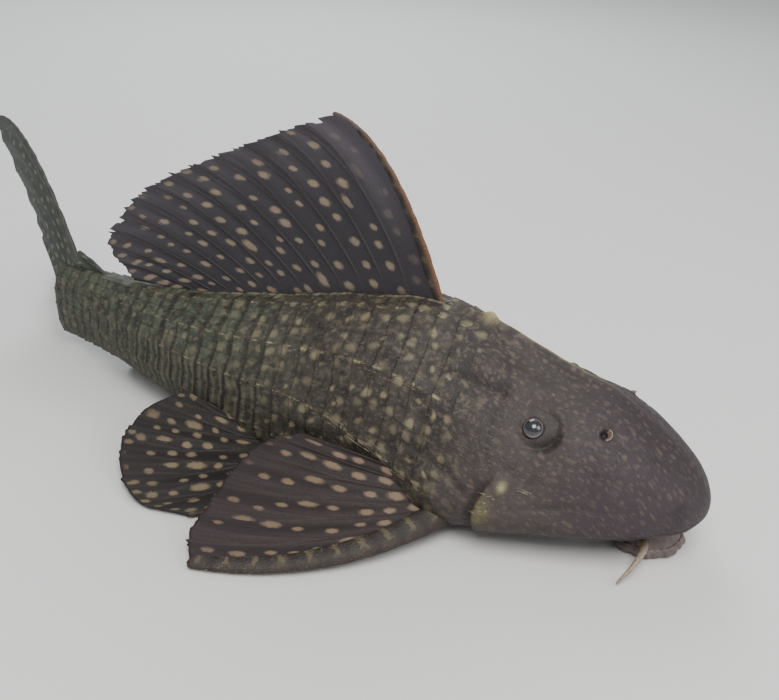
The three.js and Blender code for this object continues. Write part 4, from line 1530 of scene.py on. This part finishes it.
def paired_fin(name: str, hand: Hand, root: tuple, tip: tuple, bow: tuple, **settings: float) -> Fin:
    """A fin of a pair.

    Args:
        name: Name of the pair.
        hand: Side of the fish.
        root: Points of its root in stations forward of the origin, out and up.
        tip: Points of its tip line, likewise.
        bow: Bows of its first and last ray, likewise.
        settings: Further settings of the fin.

    Returns:
        The fin.
    """
    root, tip, bow = (np.array(points, float) * (1, hand.value, 1) * UNIT for points in (root, tip, bow))
    return Fin(
        name=f"{name}_web_{hand.label}", spine_share=0.04, root_points=root, tip_points=tip,
        bow_front=bow[0], bow_back=bow[1], **settings,
    )


def pectoral_fin(hand: Hand) -> Fin:
    """The broad front fin of one side, its spine along the floor."""
    return paired_fin(
        "pectoral", hand,
        ((11.4, 11.4, 3), (10.6, 11.2, 4.2), (9, 11, 5.6)),
        ((-12.8, 31, 0.6), (-15, 27.6, 1.6), (-15.2, 22.4, 3), (-14.8, 17.4, 4.8), (-12.8, 14, 7),
         (-8.5, 12.8, 8.8)),
        ((3.8, 6.2, -0.9), (0.6, 2.6, 2.6)),
        rays=6, per_ray=26, along_count=76, notch=0.016, teeth=3.0, seed=21,
    )


def pelvic_fin(hand: Hand) -> Fin:
    """The rounded rear fin of one side."""
    return paired_fin(
        "pelvic", hand,
        ((-7.6, 8, 1.8), (-8.8, 7.6, 2.4), (-10.4, 7.4, 3.2)),
        ((-17.4, 23.8, 0.6), (-24.2, 24.6, 0.7), (-29, 21.6, 1.5), (-32.1, 16.8, 2.8), (-32.2, 12.8, 4.4),
         (-27.4, 9.5, 7.6)),
        ((2.2, 1.8, 0), (0, 1.8, 0.4)),
        rays=5, per_ray=28, along_count=70, notch=0.014, teeth=3.0, split_at=0.3, spread=0.25, seed=31,
    )


def middle_fin(name: str, root: tuple, tip: tuple, bow: tuple, **settings: float) -> Fin:
    """A small fin on the middle line.

    Args:
        name: Name of the fin.
        root: Points of its root as station, distance to the left and height, in stations.
        tip: Points of its tip line, likewise.
        bow: Bow of its rays in stations.
        settings: Further settings of the fin.

    Returns:
        The fin.
    """
    root, tip = (np.array([BODY.beside(s, across * UNIT, up * UNIT) for s, across, up in line])
                 for line in (root, tip))
    bow = np.array(bow) * UNIT
    return Fin(name=f"{name}_web", root_points=root, tip_points=tip, bow_front=bow, bow_back=bow, **settings)


def anal_fin() -> Fin:
    """The short fin under the tail, leaning to the left."""
    return middle_fin(
        "anal",
        ((75, 0, 2.8), (76.5, 0, 3.0), (78, 0, 3.2)),
        ((83, 3.2, 0.35), (84.5, 1.8, 0.5), (84, 0.4, 1.0)),
        (0, 0, -0.5),
        rays=4, spine_share=0.08, per_ray=18, along_count=34, notch=0.06,
        ray_half=0.6, web_half=0.22, seed=41,
    )


def adipose_fin() -> Fin:
    """The small web behind the adipose spine."""
    return middle_fin(
        "adipose",
        ((85.6, 0, 13.4), (87.4, 0, 13.4), (89.2, 0, 13.4), (91, 0, 13.4)),
        ((92.2, 0, 16.6), (92.3, 0, 15.9), (92.6, 0, 15.0), (93.0, 0, 14.0)),
        (0.4, 0, 0.6),
        rays=1, spine_share=0.3, per_ray=18, along_count=24, notch=0.0, ray_half=0.3, web_half=0.3, seed=43,
    )


@dataclass(frozen=True)
class Spine:
    """Tapered bony spine or stout ray along the leading edge of a fin."""

    name: str
    fin: Web
    u: float
    thick: float
    broad: float
    tip_share: float
    inset: float = 0.0
    sides: int = 20
    rings: int = 90
    knob_height: float = 0.1
    knob_length: float = 0.004

    def path(self) -> tuple[Array, Array, Array, Array]:
        """Centre line with its directions along it, across the fin and through the fin."""
        nearby = 0.02 if self.u < 0.5 else -0.02
        v = np.linspace(0, 1, self.rings)
        u = np.full(v.shape, self.u)
        centre = self.fin.point(u, v)
        inward = self.fin.point(u + nearby, v) - centre
        along = unit(np.gradient(centre, axis=0))
        across = unit(inward - (inward * along).sum(axis=1, keepdims=True) * along)
        return centre, along, across, unit(np.cross(along, across))

    def radii(self) -> tuple[Array, Array]:
        """Half width across and half thickness through the fin at each ring, in metres."""
        v = np.linspace(0, 1, self.rings)
        taper = lerp(1.0, self.tip_share, v ** 0.9) * np.sqrt(np.clip((1.004 - v) / 0.02, 0, 1))
        return self.broad * taper * MM, self.thick * taper * MM

    def read(self, table: Array, ring: Array) -> Array:
        """Rows of a table of directions or places, at rings given as fractional numbers."""
        index = np.arange(self.rings)
        return np.stack([np.interp(ring, index, table[:, k]) for k in range(3)], axis=-1)

    def surface(self, ring: Array, angle: Array) -> tuple[Array, Array]:
        """Points and outward directions at rings, given as fractional numbers, and angles."""
        centre, _, across, through = self.path()
        wide, thick = (np.interp(ring, np.arange(self.rings), radius)[..., None] for radius in self.radii())
        turn = angle[..., None]
        side, out = self.read(across, ring), self.read(through, ring)
        middle = self.read(centre, ring) + side * self.inset * wide
        point = middle + side * (wide * np.cos(turn)) + out * (thick * np.sin(turn))
        return point, unit(side * np.cos(turn) + out * np.sin(turn))

    def build(self) -> bpy.types.Object:
        """Models the spine as a closed tube with low knobs along it."""
        turns = np.linspace(0, 2 * np.pi, self.sides + 1)
        ring, angle = np.meshgrid(np.arange(self.rings, dtype=float), turns, indexing="ij")
        points, direction = self.surface(ring, angle)
        knobs = self.knob_height * MM * wander(points, self.knob_length, SEED + 5)
        steps = np.linalg.norm(np.diff(self.path()[0], axis=0), axis=1)
        run = np.concatenate([[0], np.cumsum(steps)])
        return tube(
            self.name, points + direction * knobs[..., None],
            along=np.broadcast_to(run[:, None], ring.shape), facing=np.cos(angle),
        )

    def bristles(self, count: int, length: float) -> "Bristles":
        """Teeth on the spine, leaning to its tip and longest near it.

        Args:
            count: How many are tried; those under the floor are left out.
            length: Their usual length in millimetres.

        Returns:
            The teeth.
        """
        lowest, lean, half_width = 0.5 * MM, 0.55, 0.12
        rng = np.random.default_rng(SEED + count)
        bristles = Bristles(f"{self.name}_odontodes")
        share = rng.uniform(0.06, 0.985, count)
        angle = rng.uniform(0, 2 * np.pi, count)
        ring = share * (self.rings - 1)
        foot, out = self.surface(ring, angle)
        ahead = self.read(self.path()[1], ring)
        size = length * (0.5 + 0.7 * share) * rng.uniform(0.7, 1.2, count)
        keep = foot[:, 2] > lowest
        bristles.add(foot[keep], (ahead + out * lean)[keep], size[keep], half_width)
        return bristles


class Bristles:
    """Odontodes: small pointed teeth of the skin, gathered into one piece."""

    corners = 4
    sunk = 0.25

    def __init__(self, name: str) -> None:
        """Starts an empty gathering."""
        self.name = name
        self.feet: list[Array] = []
        self.tips: list[Array] = []
        self.widths: list[Array] = []

    def add(self, foot: Array, lean: Array, length: Array, width: Reading) -> None:
        """Adds teeth.

        Args:
            foot: Places of the roots, one per row, in metres.
            lean: Directions of the teeth.
            length: Their lengths in millimetres.
            width: Their half widths at the root in millimetres.
        """
        lean = unit(lean)
        self.feet.append(foot - lean * self.sunk * MM)
        self.tips.append(foot + lean * length[:, None] * MM)
        self.widths.append(np.broadcast_to(width, length.shape))

    def build(self) -> bpy.types.Object:
        """Models all teeth as slender closed four-sided points."""
        foot, tip = np.concatenate(self.feet), np.concatenate(self.tips)
        width = np.concatenate(self.widths)[:, None] * MM
        off_axis = np.array([0.13, 0.31, 0.94])
        lean = unit(tip - foot)
        side = unit(np.cross(lean, off_axis))
        over = np.cross(lean, side)
        angles = [2 * math.pi * k / self.corners for k in range(self.corners)]
        ring = [foot + (side * math.cos(a) + over * math.sin(a)) * width for a in angles]
        points = np.stack([*ring, tip], axis=1)
        points[..., 2] = np.maximum(points[..., 2], 0.0)
        start = np.arange(len(foot))[:, None] * (self.corners + 1)
        triangles = [(k, (k + 1) % self.corners, self.corners) for k in range(self.corners)]
        triangles += [(0, 2, 1), (0, 3, 2)]
        faces = np.concatenate([start + np.array(triangle) for triangle in triangles])
        mesh = bpy.data.meshes.new(self.name)
        mesh.from_pydata(points.reshape(-1, 3).tolist(), [], faces.tolist())
        piece = linked(self.name, mesh)
        outward(piece)
        return piece


def plate_teeth(first: int, count: int) -> tuple[Array, Array, Array]:
    """Plates, rows and sides of teeth spread over both flanks.

    Args:
        first: First plate that has any.
        count: Teeth to a plate of each row.

    Returns:
        Plate, row and side of each tooth.
    """
    rows = 5
    grids = np.meshgrid(
        np.arange(first, PLATE_COUNT), np.arange(rows), [-1.0, 1.0], np.arange(count), indexing="ij",
    )
    plate, row, hand, _ = (grid.ravel() for grid in grids)
    return plate, row, hand


def edge_bristles() -> Bristles:
    """Combs of fine teeth along the rear edges of the plates."""
    rng = np.random.default_rng(SEED)
    bristles = Bristles("edge_odontodes")
    plate, row, hand = plate_teeth(1, 34)
    across = row + rng.uniform(0.04, 0.96, plate.size)
    along = plate + 0.955 + rng.uniform(-0.05, 0.012, plate.size)
    foot, out = skin_place(along, across, hand)
    size = lerp(1.0, 0.7, plate / PLATE_COUNT)
    length = rng.uniform(0.35, 0.75, plate.size) * size
    lift = out * rng.uniform(0.15, 0.45, plate.size)[:, None]
    bristles.add(foot, BODY.tailward(plate_station(along)) + lift, length, 0.075 * size)
    return bristles


def keel_bristles() -> Bristles:
    """Stronger teeth along the keels of the plates."""
    rng = np.random.default_rng(SEED + 2)
    bristles = Bristles("keel_odontodes")
    plate, row, hand = plate_teeth(2, 22)
    along = plate + rng.uniform(0.1, 0.99, plate.size)
    across = row + 0.5 + rng.normal(0, 0.03, plate.size)
    foot, out = skin_place(along, across, hand)
    size = lerp(1.0, 0.75, plate / PLATE_COUNT) * (1 + 0.3 * hump(row, 0, 0.5))
    length = rng.uniform(0.35, 0.7, plate.size) * size * (0.5 + 0.6 * (along % 1))
    lift = out * rng.uniform(0.3, 0.7, plate.size)[:, None]
    bristles.add(foot, BODY.tailward(plate_station(along)) + lift, length, 0.085 * size ** 0.5)
    return bristles


@dataclass(frozen=True)
class Combs:
    """Long pale teeth: combs over the paired fins, and a few on the cheeks.

    Each comb is given by its row, its teeth to a plate and the share of them that is kept.
    """

    per_plate: tuple = ((1, 2, 0.5), (2, 4, 0.9))
    last_plate: int = 12
    half_width: float = 0.1
    cheek_count: int = 11
    long_count: int = 3
    cheek_half_width: float = 0.14

    def keel(self, bristles: Bristles, rng: np.random.Generator, hand: float) -> None:
        """Adds the teeth of the keels of one side, fewer and shorter toward the last plate."""
        for row, count, share in self.per_plate:
            plate = np.repeat(np.arange(1, self.last_plate), count)
            strength = smooth(self.last_plate, 6, plate) * (rng.uniform(size=plate.size) < share)
            along = plate + rng.uniform(0.2, 0.98, plate.size)
            across = row + 0.5 + rng.uniform(-0.12, 0.1, plate.size)
            hands = np.full(plate.size, hand)
            foot, out = skin_place(along, across, hands)
            back = unit(skin_place(along + 0.6, across, hands)[0] - foot)
            lean = back + out * rng.uniform(0.03, 0.09, (plate.size, 1))
            length = rng.uniform(3.0, 7.0, plate.size) * (0.35 + 0.65 * strength)
            keep = strength > 0
            bristles.add(foot[keep], lean[keep], length[keep], self.half_width)

    def cheek(self, bristles: Bristles, rng: np.random.Generator, hand: float) -> None:
        """Adds the teeth of one cheek, a few of them longer and farther forward."""
        side = rng.uniform(2, 24, self.cheek_count)
        s = GILL_COVER.edge(side) - rng.uniform(0.2, 1.6, self.cheek_count)
        side = np.append(side, rng.uniform(19, 23, self.long_count))
        s = np.append(s, rng.uniform(18.0, 19.6, self.long_count))
        hands = np.full(len(s), hand)
        out = BODY.normal(s, side, hands)
        bare = BODY.point(s, side, hands)
        height = skin_relief(s, side, np.full(len(s), 3.0), np.full(len(s), -2.0), bare)
        foot = bare + out * (height[:, None] + 0.1) * MM
        lean = np.array([-1.0, 0, 0.05]) + out * rng.uniform(0.12, 0.3, len(s))[:, None]
        lean = lean + rng.normal(0, 0.16, lean.shape)
        length = np.append(rng.uniform(1.4, 3.0, self.cheek_count), rng.uniform(3.4, 4.6, self.long_count))
        bristles.add(foot, lean, length, self.cheek_half_width)

    def build(self) -> bpy.types.Object:
        """Models the teeth of both sides."""
        rng = np.random.default_rng(SEED + 4)
        bristles = Bristles("comb_odontodes")
        for hand in (-1.0, 1.0):
            self.keel(bristles, rng, hand)
            self.cheek(bristles, rng, hand)
        return bristles.build()


@dataclass(frozen=True)
class Spinelet:
    """Low bony button that locks the dorsal spine, just ahead of it."""

    s: float = 33.9
    up: float = 23.6
    half_sizes: tuple = (2.6, 1.6, 1.8)
    fork: float = 0.25

    def build(self) -> bpy.types.Object:
        """Models the button, forked behind."""
        piece, places = ball("dorsal_spinelet", 24, 16)
        forked = places * (1 - self.fork * hump(places[:, :1], -1, 0.6) * hump(places[:, 1:2], 0, 0.5))
        points = BODY.beside(self.s, 0.0, self.up * UNIT) + forked * np.array(self.half_sizes) * MM
        move_vertices(piece, points)
        shade_smooth(piece)
        return piece


# Eyes, nostrils and mouth

@dataclass(frozen=True)
class Eye:
    """Eyeball set in its socket and looking straight out of the skin."""

    hand: Hand
    fit: float = 0.97
    bulge: float = 0.06
    bulge_width: float = 0.62
    lobe_width: float = 0.16

    def build(self) -> bpy.types.Object:
        """Models the eyeball with a cornea that bulges over the iris."""
        axis = ORBIT.axis(self.hand)
        ahead, upward = round_axis(axis, self.hand)
        piece, places = ball(f"eyeball_{self.hand.label}", 48, 32)
        polar = np.arccos(np.clip(places[:, 2], -1, 1))
        bulge = 1 + self.bulge * hump(polar, 0, self.bulge_width)
        turned = places[:, :1] * ahead + places[:, 1:2] * upward + places[:, 2:3] * axis
        centre = ORBIT.centre(self.hand) - axis * ORBIT.sunk * MM
        move_vertices(piece, centre + turned * bulge[:, None] * (ORBIT.ball * self.fit * MM))
        set_attribute(piece, "polar", polar)
        set_attribute(piece, "lobe", hump(places[:, 0], 0, self.lobe_width) * (places[:, 1] > 0))
        outward(piece)
        shade_smooth(piece)
        return piece


@dataclass(frozen=True)
class NostrilFlap:
    """Pale curled flap that stands in front of a nostril."""

    hand: Hand
    half_turn: float = 1.25
    height: float = 2.5
    sunk: float = 0.9
    thickness: float = 0.45

    def build(self) -> bpy.types.Object:
        """Models the flap as a small thick leaf curled round the front of the pit."""
        axis = NOSTRIL.axis(self.hand)
        ahead, upward = round_axis(axis, self.hand)
        turns = np.linspace(-self.half_turn, self.half_turn, 17)
        turn, rise = (grid[..., None] for grid in np.meshgrid(turns, np.linspace(0, 1, 9), indexing="ij"))
        ring = (NOSTRIL.rim - 1.0 + 0.9 * rise) * MM
        height = (-self.sunk + self.height * rise * np.cos(turn * 0.9) ** 0.5) * MM
        around = np.cos(turn) * ahead + np.sin(turn) * upward
        points = NOSTRIL.centre(self.hand) + ring * around + height * axis
        piece = sheet(f"nostril_flap_{self.hand.label}", points)
        apply_modifier(piece, "SOLIDIFY", thickness=self.thickness * MM, offset=0)
        apply_modifier(piece, "SUBSURF", levels=1, render_levels=1)
        outward(piece)
        shade_smooth(piece)
        return piece


@dataclass(frozen=True)
class Lips:
    """Round sucker: a broad papillate lip round the sunken mouth, its rim on the floor.

    The profile gives shares of the radius and heights in stations, from the mouth out and back.
    """

    s: float = 6.6
    radius: float = 4.75
    profile: tuple = (
        (0.0, 1.6), (0.22, 1.5), (0.34, 1.0), (0.42, 0.55), (0.52, 0.25), (0.62, 0.06), (0.74, 0.0),
        (0.9, 0.0), (0.99, 0.2), (1.0, 0.5), (0.96, 0.9), (0.88, 1.35), (0.8, 2.0), (0.76, 3.2), (0.0, 3.4),
    )
    rings: int = 110
    sides: int = 160
    papilla: float = 0.0004
    papilla_rate: float = 4.6
    papilla_turns: float = 2.6
    lip_top: float = 1.2

    def build(self) -> bpy.types.Object:
        """Models the lips as a turned form with papillae and a ragged rim."""
        place = np.linspace(0, 1, self.rings) * (len(self.profile) - 1)
        index = np.arange(len(self.profile))
        out, up = (np.interp(place, index, column) for column in np.transpose(self.profile))
        turn = np.linspace(0, 2 * np.pi, self.sides + 1)
        radius, angle = np.meshgrid(out * self.radius * UNIT, turn, indexing="ij")
        height = np.broadcast_to((up * UNIT)[:, None], radius.shape)
        rows = np.maximum(np.sin(radius / MM * self.papilla_rate), 0)
        papilla = rows * np.maximum(np.sin(angle * np.round(radius / MM * self.papilla_turns)), 0)
        on_lip = smooth(0.4, 0.5, radius / (self.radius * UNIT)) * (height < self.lip_top * UNIT)
        scallop = 1 + 0.025 * np.sin(angle * 9 + 1) * on_lip + 0.015 * np.sin(angle * 23) * on_lip
        centre = BODY.beside(self.s, 0.0, 0.0)
        x = centre[0] + radius * scallop * np.cos(angle)
        y = centre[1] + radius * scallop * np.sin(angle)
        z = height - papilla * on_lip * self.papilla + self.papilla * on_lip
        return tube("lips", np.stack([x, y, z], axis=-1))


@dataclass(frozen=True)
class Barbel:
    """Fleshy feeler at a corner of the mouth, out from the lip and down to the floor.

    The route gives station, distance from the middle and height, in stations.
    """

    hand: Hand
    route: tuple = ((6.3, 3.2, 1.6), (5.6, 5.8, 2.4), (6.0, 8.4, 1.8), (7.2, 10.7, 0.35))
    root_radius: float = 1.9
    tip_radius: float = 0.4
    wrinkle: float = 0.05
    wrinkle_rate: float = 70
    rings: int = 46
    sides: int = 18

    def build(self) -> bpy.types.Object:
        """Models the barbel as a tapered tube with soft wrinkles."""
        path = np.array([
            BODY.beside(s, self.hand.value * across * UNIT, up * UNIT) for s, across, up in self.route
        ])
        share = np.linspace(0, 1, self.rings)
        centre = spline(path, share)
        ahead = unit(np.gradient(centre, axis=0))
        side = unit(np.cross(ahead, np.array([0.0, 0.0, 1.0])))
        over = np.cross(side, ahead)
        wrinkle = 1 + self.wrinkle * np.sin(share * self.wrinkle_rate)
        radius = lerp(self.root_radius, self.tip_radius, share ** 0.8) * wrinkle
        radius = radius * np.sqrt(np.clip((1.003 - share) / 0.03, 0, 1)) * MM
        turn = np.linspace(0, 2 * np.pi, self.sides + 1)[None, :, None]
        ring = side[:, None] * np.cos(turn) + over[:, None] * np.sin(turn)
        return tube(f"barbel_skin_{self.hand.label}", centre[:, None] + ring * radius[:, None, None])


# Studio

@dataclass(frozen=True)
class Studio:
    """Camera at the photograph's place, soft lights and a plain pale floor."""

    place: tuple = (0.1100, -0.2844, 0.2107)
    yaw: float = 0.3931
    pitch: float = 0.4979
    roll: float = 0.0602
    focal: float = 1000.28
    frame_width: float = 779.0
    sensor: float = 36.0
    floor_size: float = 12.0
    floor_gap: float = 0.0002

    def camera(self) -> None:
        """Adds the camera and makes it the scene's."""
        ahead = Vector((
            -math.sin(self.yaw) * math.cos(self.pitch),
            math.cos(self.yaw) * math.cos(self.pitch),
            -math.sin(self.pitch),
        ))
        level = Vector((math.cos(self.yaw), math.sin(self.yaw), 0.0))
        upright = level.cross(ahead)
        right = level * math.cos(self.roll) + upright * math.sin(self.roll)
        up = upright * math.cos(self.roll) - level * math.sin(self.roll)
        data = bpy.data.cameras.new("camera")
        data.sensor_fit = "HORIZONTAL"
        data.sensor_width = self.sensor
        data.lens = self.focal / self.frame_width * self.sensor
        data.clip_start = 0.01
        camera = linked("camera", data)
        turned = Matrix((right, up, -ahead)).transposed().to_4x4()
        camera.matrix_world = Matrix.Translation(self.place) @ turned
        bpy.context.scene.camera = camera

    def lamp(self, name: str, place: tuple, aim: tuple, size: float, power: float, colour: Colour) -> None:
        """Adds one soft square light that faces a point."""
        data = bpy.data.lights.new(name, "AREA")
        data.shape = "SQUARE"
        data.size = size
        data.energy = power
        data.color = colour
        light = linked(name, data)
        light.location = place
        light.rotation_euler = (Vector(aim) - Vector(place)).to_track_quat("-Z", "Y").to_euler()

    def floor(self) -> None:
        """Adds the floor just under the fish."""
        add = bpy.ops.mesh.primitive_plane_add
        floor = primitive("floor", add, size=self.floor_size, location=(0, 0, -self.floor_gap))
        shader = Shader("pale_floor", Roughness=0.85, Base_Color=(0.62, 0.62, 0.61))
        floor.data.materials.append(shader.material)

    def world(self) -> None:
        """Pale, even light all round."""
        world = bpy.data.worlds.new("studio")
        world.use_nodes = True
        back = world.node_tree.nodes["Background"]
        back.inputs["Color"].default_value = (0.86, 0.88, 0.9, 1.0)
        back.inputs["Strength"].default_value = 0.55
        bpy.context.scene.world = world

    def build(self) -> None:
        """Sets up the whole studio."""
        self.camera()
        self.floor()
        self.world()
        self.lamp("key", (0.25, -0.5, 1.0), (0, 0, 0.03), 0.7, 15.0, (1.0, 0.98, 0.95))
        self.lamp("back", (-0.5, 0.75, 0.7), (-0.05, 0, 0.04), 0.6, 7.0, (0.92, 0.96, 1.0))
        self.lamp("front", (0.8, -0.1, 0.5), (0.05, 0, 0.03), 0.5, 3.0, (1.0, 1.0, 1.0))


def fin_finishes() -> dict[str, bpy.types.Material]:
    """Finishes of the fin webs."""
    finishes = (
        FinFinish("dorsal_web", bare=1.0, radius=1.4),
        FinFinish(
            "pelvic_web", web=srgb(30, 27, 26), ray=srgb(44, 39, 36), spot=srgb(110, 97, 76), tip_share=0.1,
            rim_share=0.7, stagger=0.35, pitch=8.6, radius=1.2, stretch=1.25, long_share=0.2, lanes=2,
            odd=7.0,
        ),
        FinFinish(
            "pectoral_web", web=srgb(41, 34, 34), ray=srgb(54, 45, 44), spot=srgb(113, 96, 78), tip_share=0.1,
            stagger=0.3, pitch=8.9, radius=1.08, stretch=2.0, long_share=0.3, odd=9.0,
        ),
        FinFinish(
            "caudal_web", web=srgb(55, 60, 55), ray=srgb(84, 89, 81), spot=srgb(98, 100, 87),
            tip=srgb(74, 79, 74), tip_share=0.5, pitch=6.5, radius=1.2, odd=13.0,
        ),
    )
    return {finish.name: finish.material() for finish in finishes}


def spine_finishes() -> dict[str, bpy.types.Material]:
    """Finishes of the spines and stout rays."""
    finishes = (
        SpineFinish("dorsal_spine", edge_share=0.75, blotch_share=0.25),
        SpineFinish("pectoral_spine", edge_share=0.05, blotch_share=0.45),
        SpineFinish(
            "caudal_spine", ground=srgb(60, 61, 55), blotch=srgb(90, 90, 77), dark=srgb(38, 38, 36),
            edge=srgb(70, 69, 62), edge_share=0.2,
        ),
    )
    return {finish.name: finish.material() for finish in finishes}


def build_fins() -> None:
    """Builds and dresses all fins with their spines."""
    webs, spines = fin_finishes(), spine_finishes()
    bone = PlainFinish("odontodes", srgb(98, 88, 70), srgb(68, 60, 50), roughness=0.35).material()
    bright = PlainFinish("comb_odontodes", srgb(140, 129, 112), srgb(104, 94, 82), roughness=0.3).material()
    dorsal = dorsal_fin()
    finished(dorsal.build(), webs["dorsal_web"], Slot.FIN, "dorsal_fin")
    spine = Spine("dorsal_spine", dorsal, 0.0, 1.25, 2.0, 0.35, inset=0.6)
    finished(spine.build(), spines["dorsal_spine"], Slot.SPINE)
    finished(spine.bristles(220, 0.5).build(), bone, Slot.SPINE)
    adipose = adipose_fin()
    finished(adipose.build(), webs["caudal_web"], Slot.FIN, "adipose_fin")
    spine = Spine("adipose_spine", adipose, 0.0, 1.1, 1.3, 0.3, rings=30)
    finished(spine.build(), spines["caudal_spine"], Slot.SPINE)
    caudal = CaudalFin()
    finished(caudal.build(), webs["caudal_web"], Slot.FIN, "caudal_fin")
    for label, u in (("upper", 0.0), ("lower", 1.0)):
        edge = Spine(f"caudal_{label}_ray", caudal, u, 1.3, 1.7, 0.3, inset=0.5)
        finished(edge.build(), spines["caudal_spine"], Slot.SPINE)
        finished(edge.bristles(160, 0.45).build(), bone, Slot.SPINE)
    finished(anal_fin().build(), webs["caudal_web"], Slot.FIN, "anal_fin")
    for hand in Hand:
        pectoral = pectoral_fin(hand)
        finished(pectoral.build(), webs["pectoral_web"], Slot.FIN, f"pectoral_fin_{hand.label}")
        spine = Spine(f"pectoral_spine_{hand.label}", pectoral, 0.0, 2.7, 4.6, 0.5, inset=0.5)
        finished(spine.build(), spines["pectoral_spine"], Slot.SPINE)
        finished(spine.bristles(340, 0.6).build(), bone, Slot.SPINE)
        pelvic = pelvic_fin(hand)
        finished(pelvic.build(), webs["pelvic_web"], Slot.FIN, f"pelvic_fin_{hand.label}")
        spine = Spine(f"pelvic_spine_{hand.label}", pelvic, 0.0, 1.4, 2.0, 0.4, inset=0.5)
        finished(spine.build(), spines["pectoral_spine"], Slot.SPINE)
    button = PlainFinish("spinelet_bone", srgb(66, 58, 53), srgb(44, 38, 37)).material()
    finished(Spinelet().build(), button, Slot.SPINE)
    finished(edge_bristles().build(), bone, Slot.SPINE)
    finished(keel_bristles().build(), bone, Slot.SPINE)
    finished(Combs().build(), bright, Slot.SPINE)


def build_head() -> None:
    """Builds and dresses the skin, eyes, nostril flaps, lips and barbels."""
    finished(Skin().build(), SkinFinish().material(), Slot.SKIN, "head", "torso_front", "torso_rear", "tail")
    eye = EyeFinish().material()
    flap = PlainFinish("nostril_flap", srgb(132, 118, 100), srgb(96, 84, 72)).material()
    lip = PlainFinish("lips", srgb(98, 86, 82), srgb(76, 66, 64), size=0.0012).material()
    barbel = PlainFinish("barbel", srgb(142, 124, 108), srgb(108, 93, 82)).material()
    for hand in Hand:
        finished(Eye(hand).build(), eye, Slot.EYE, f"eye_{hand.label}")
        finished(NostrilFlap(hand).build(), flap, Slot.SKIN)
        finished(Barbel(hand).build(), barbel, Slot.LIP, f"barbel_{hand.label}")
    finished(Lips().build(), lip, Slot.LIP, "lip_disc")


def main() -> None:
    """Builds the studio and the fish."""
    logging.basicConfig(level=logging.INFO, format="%(message)s", stream=sys.stdout)
    Studio().build()
    build_head()
    build_fins()


if __name__ == "__main__":
    main()
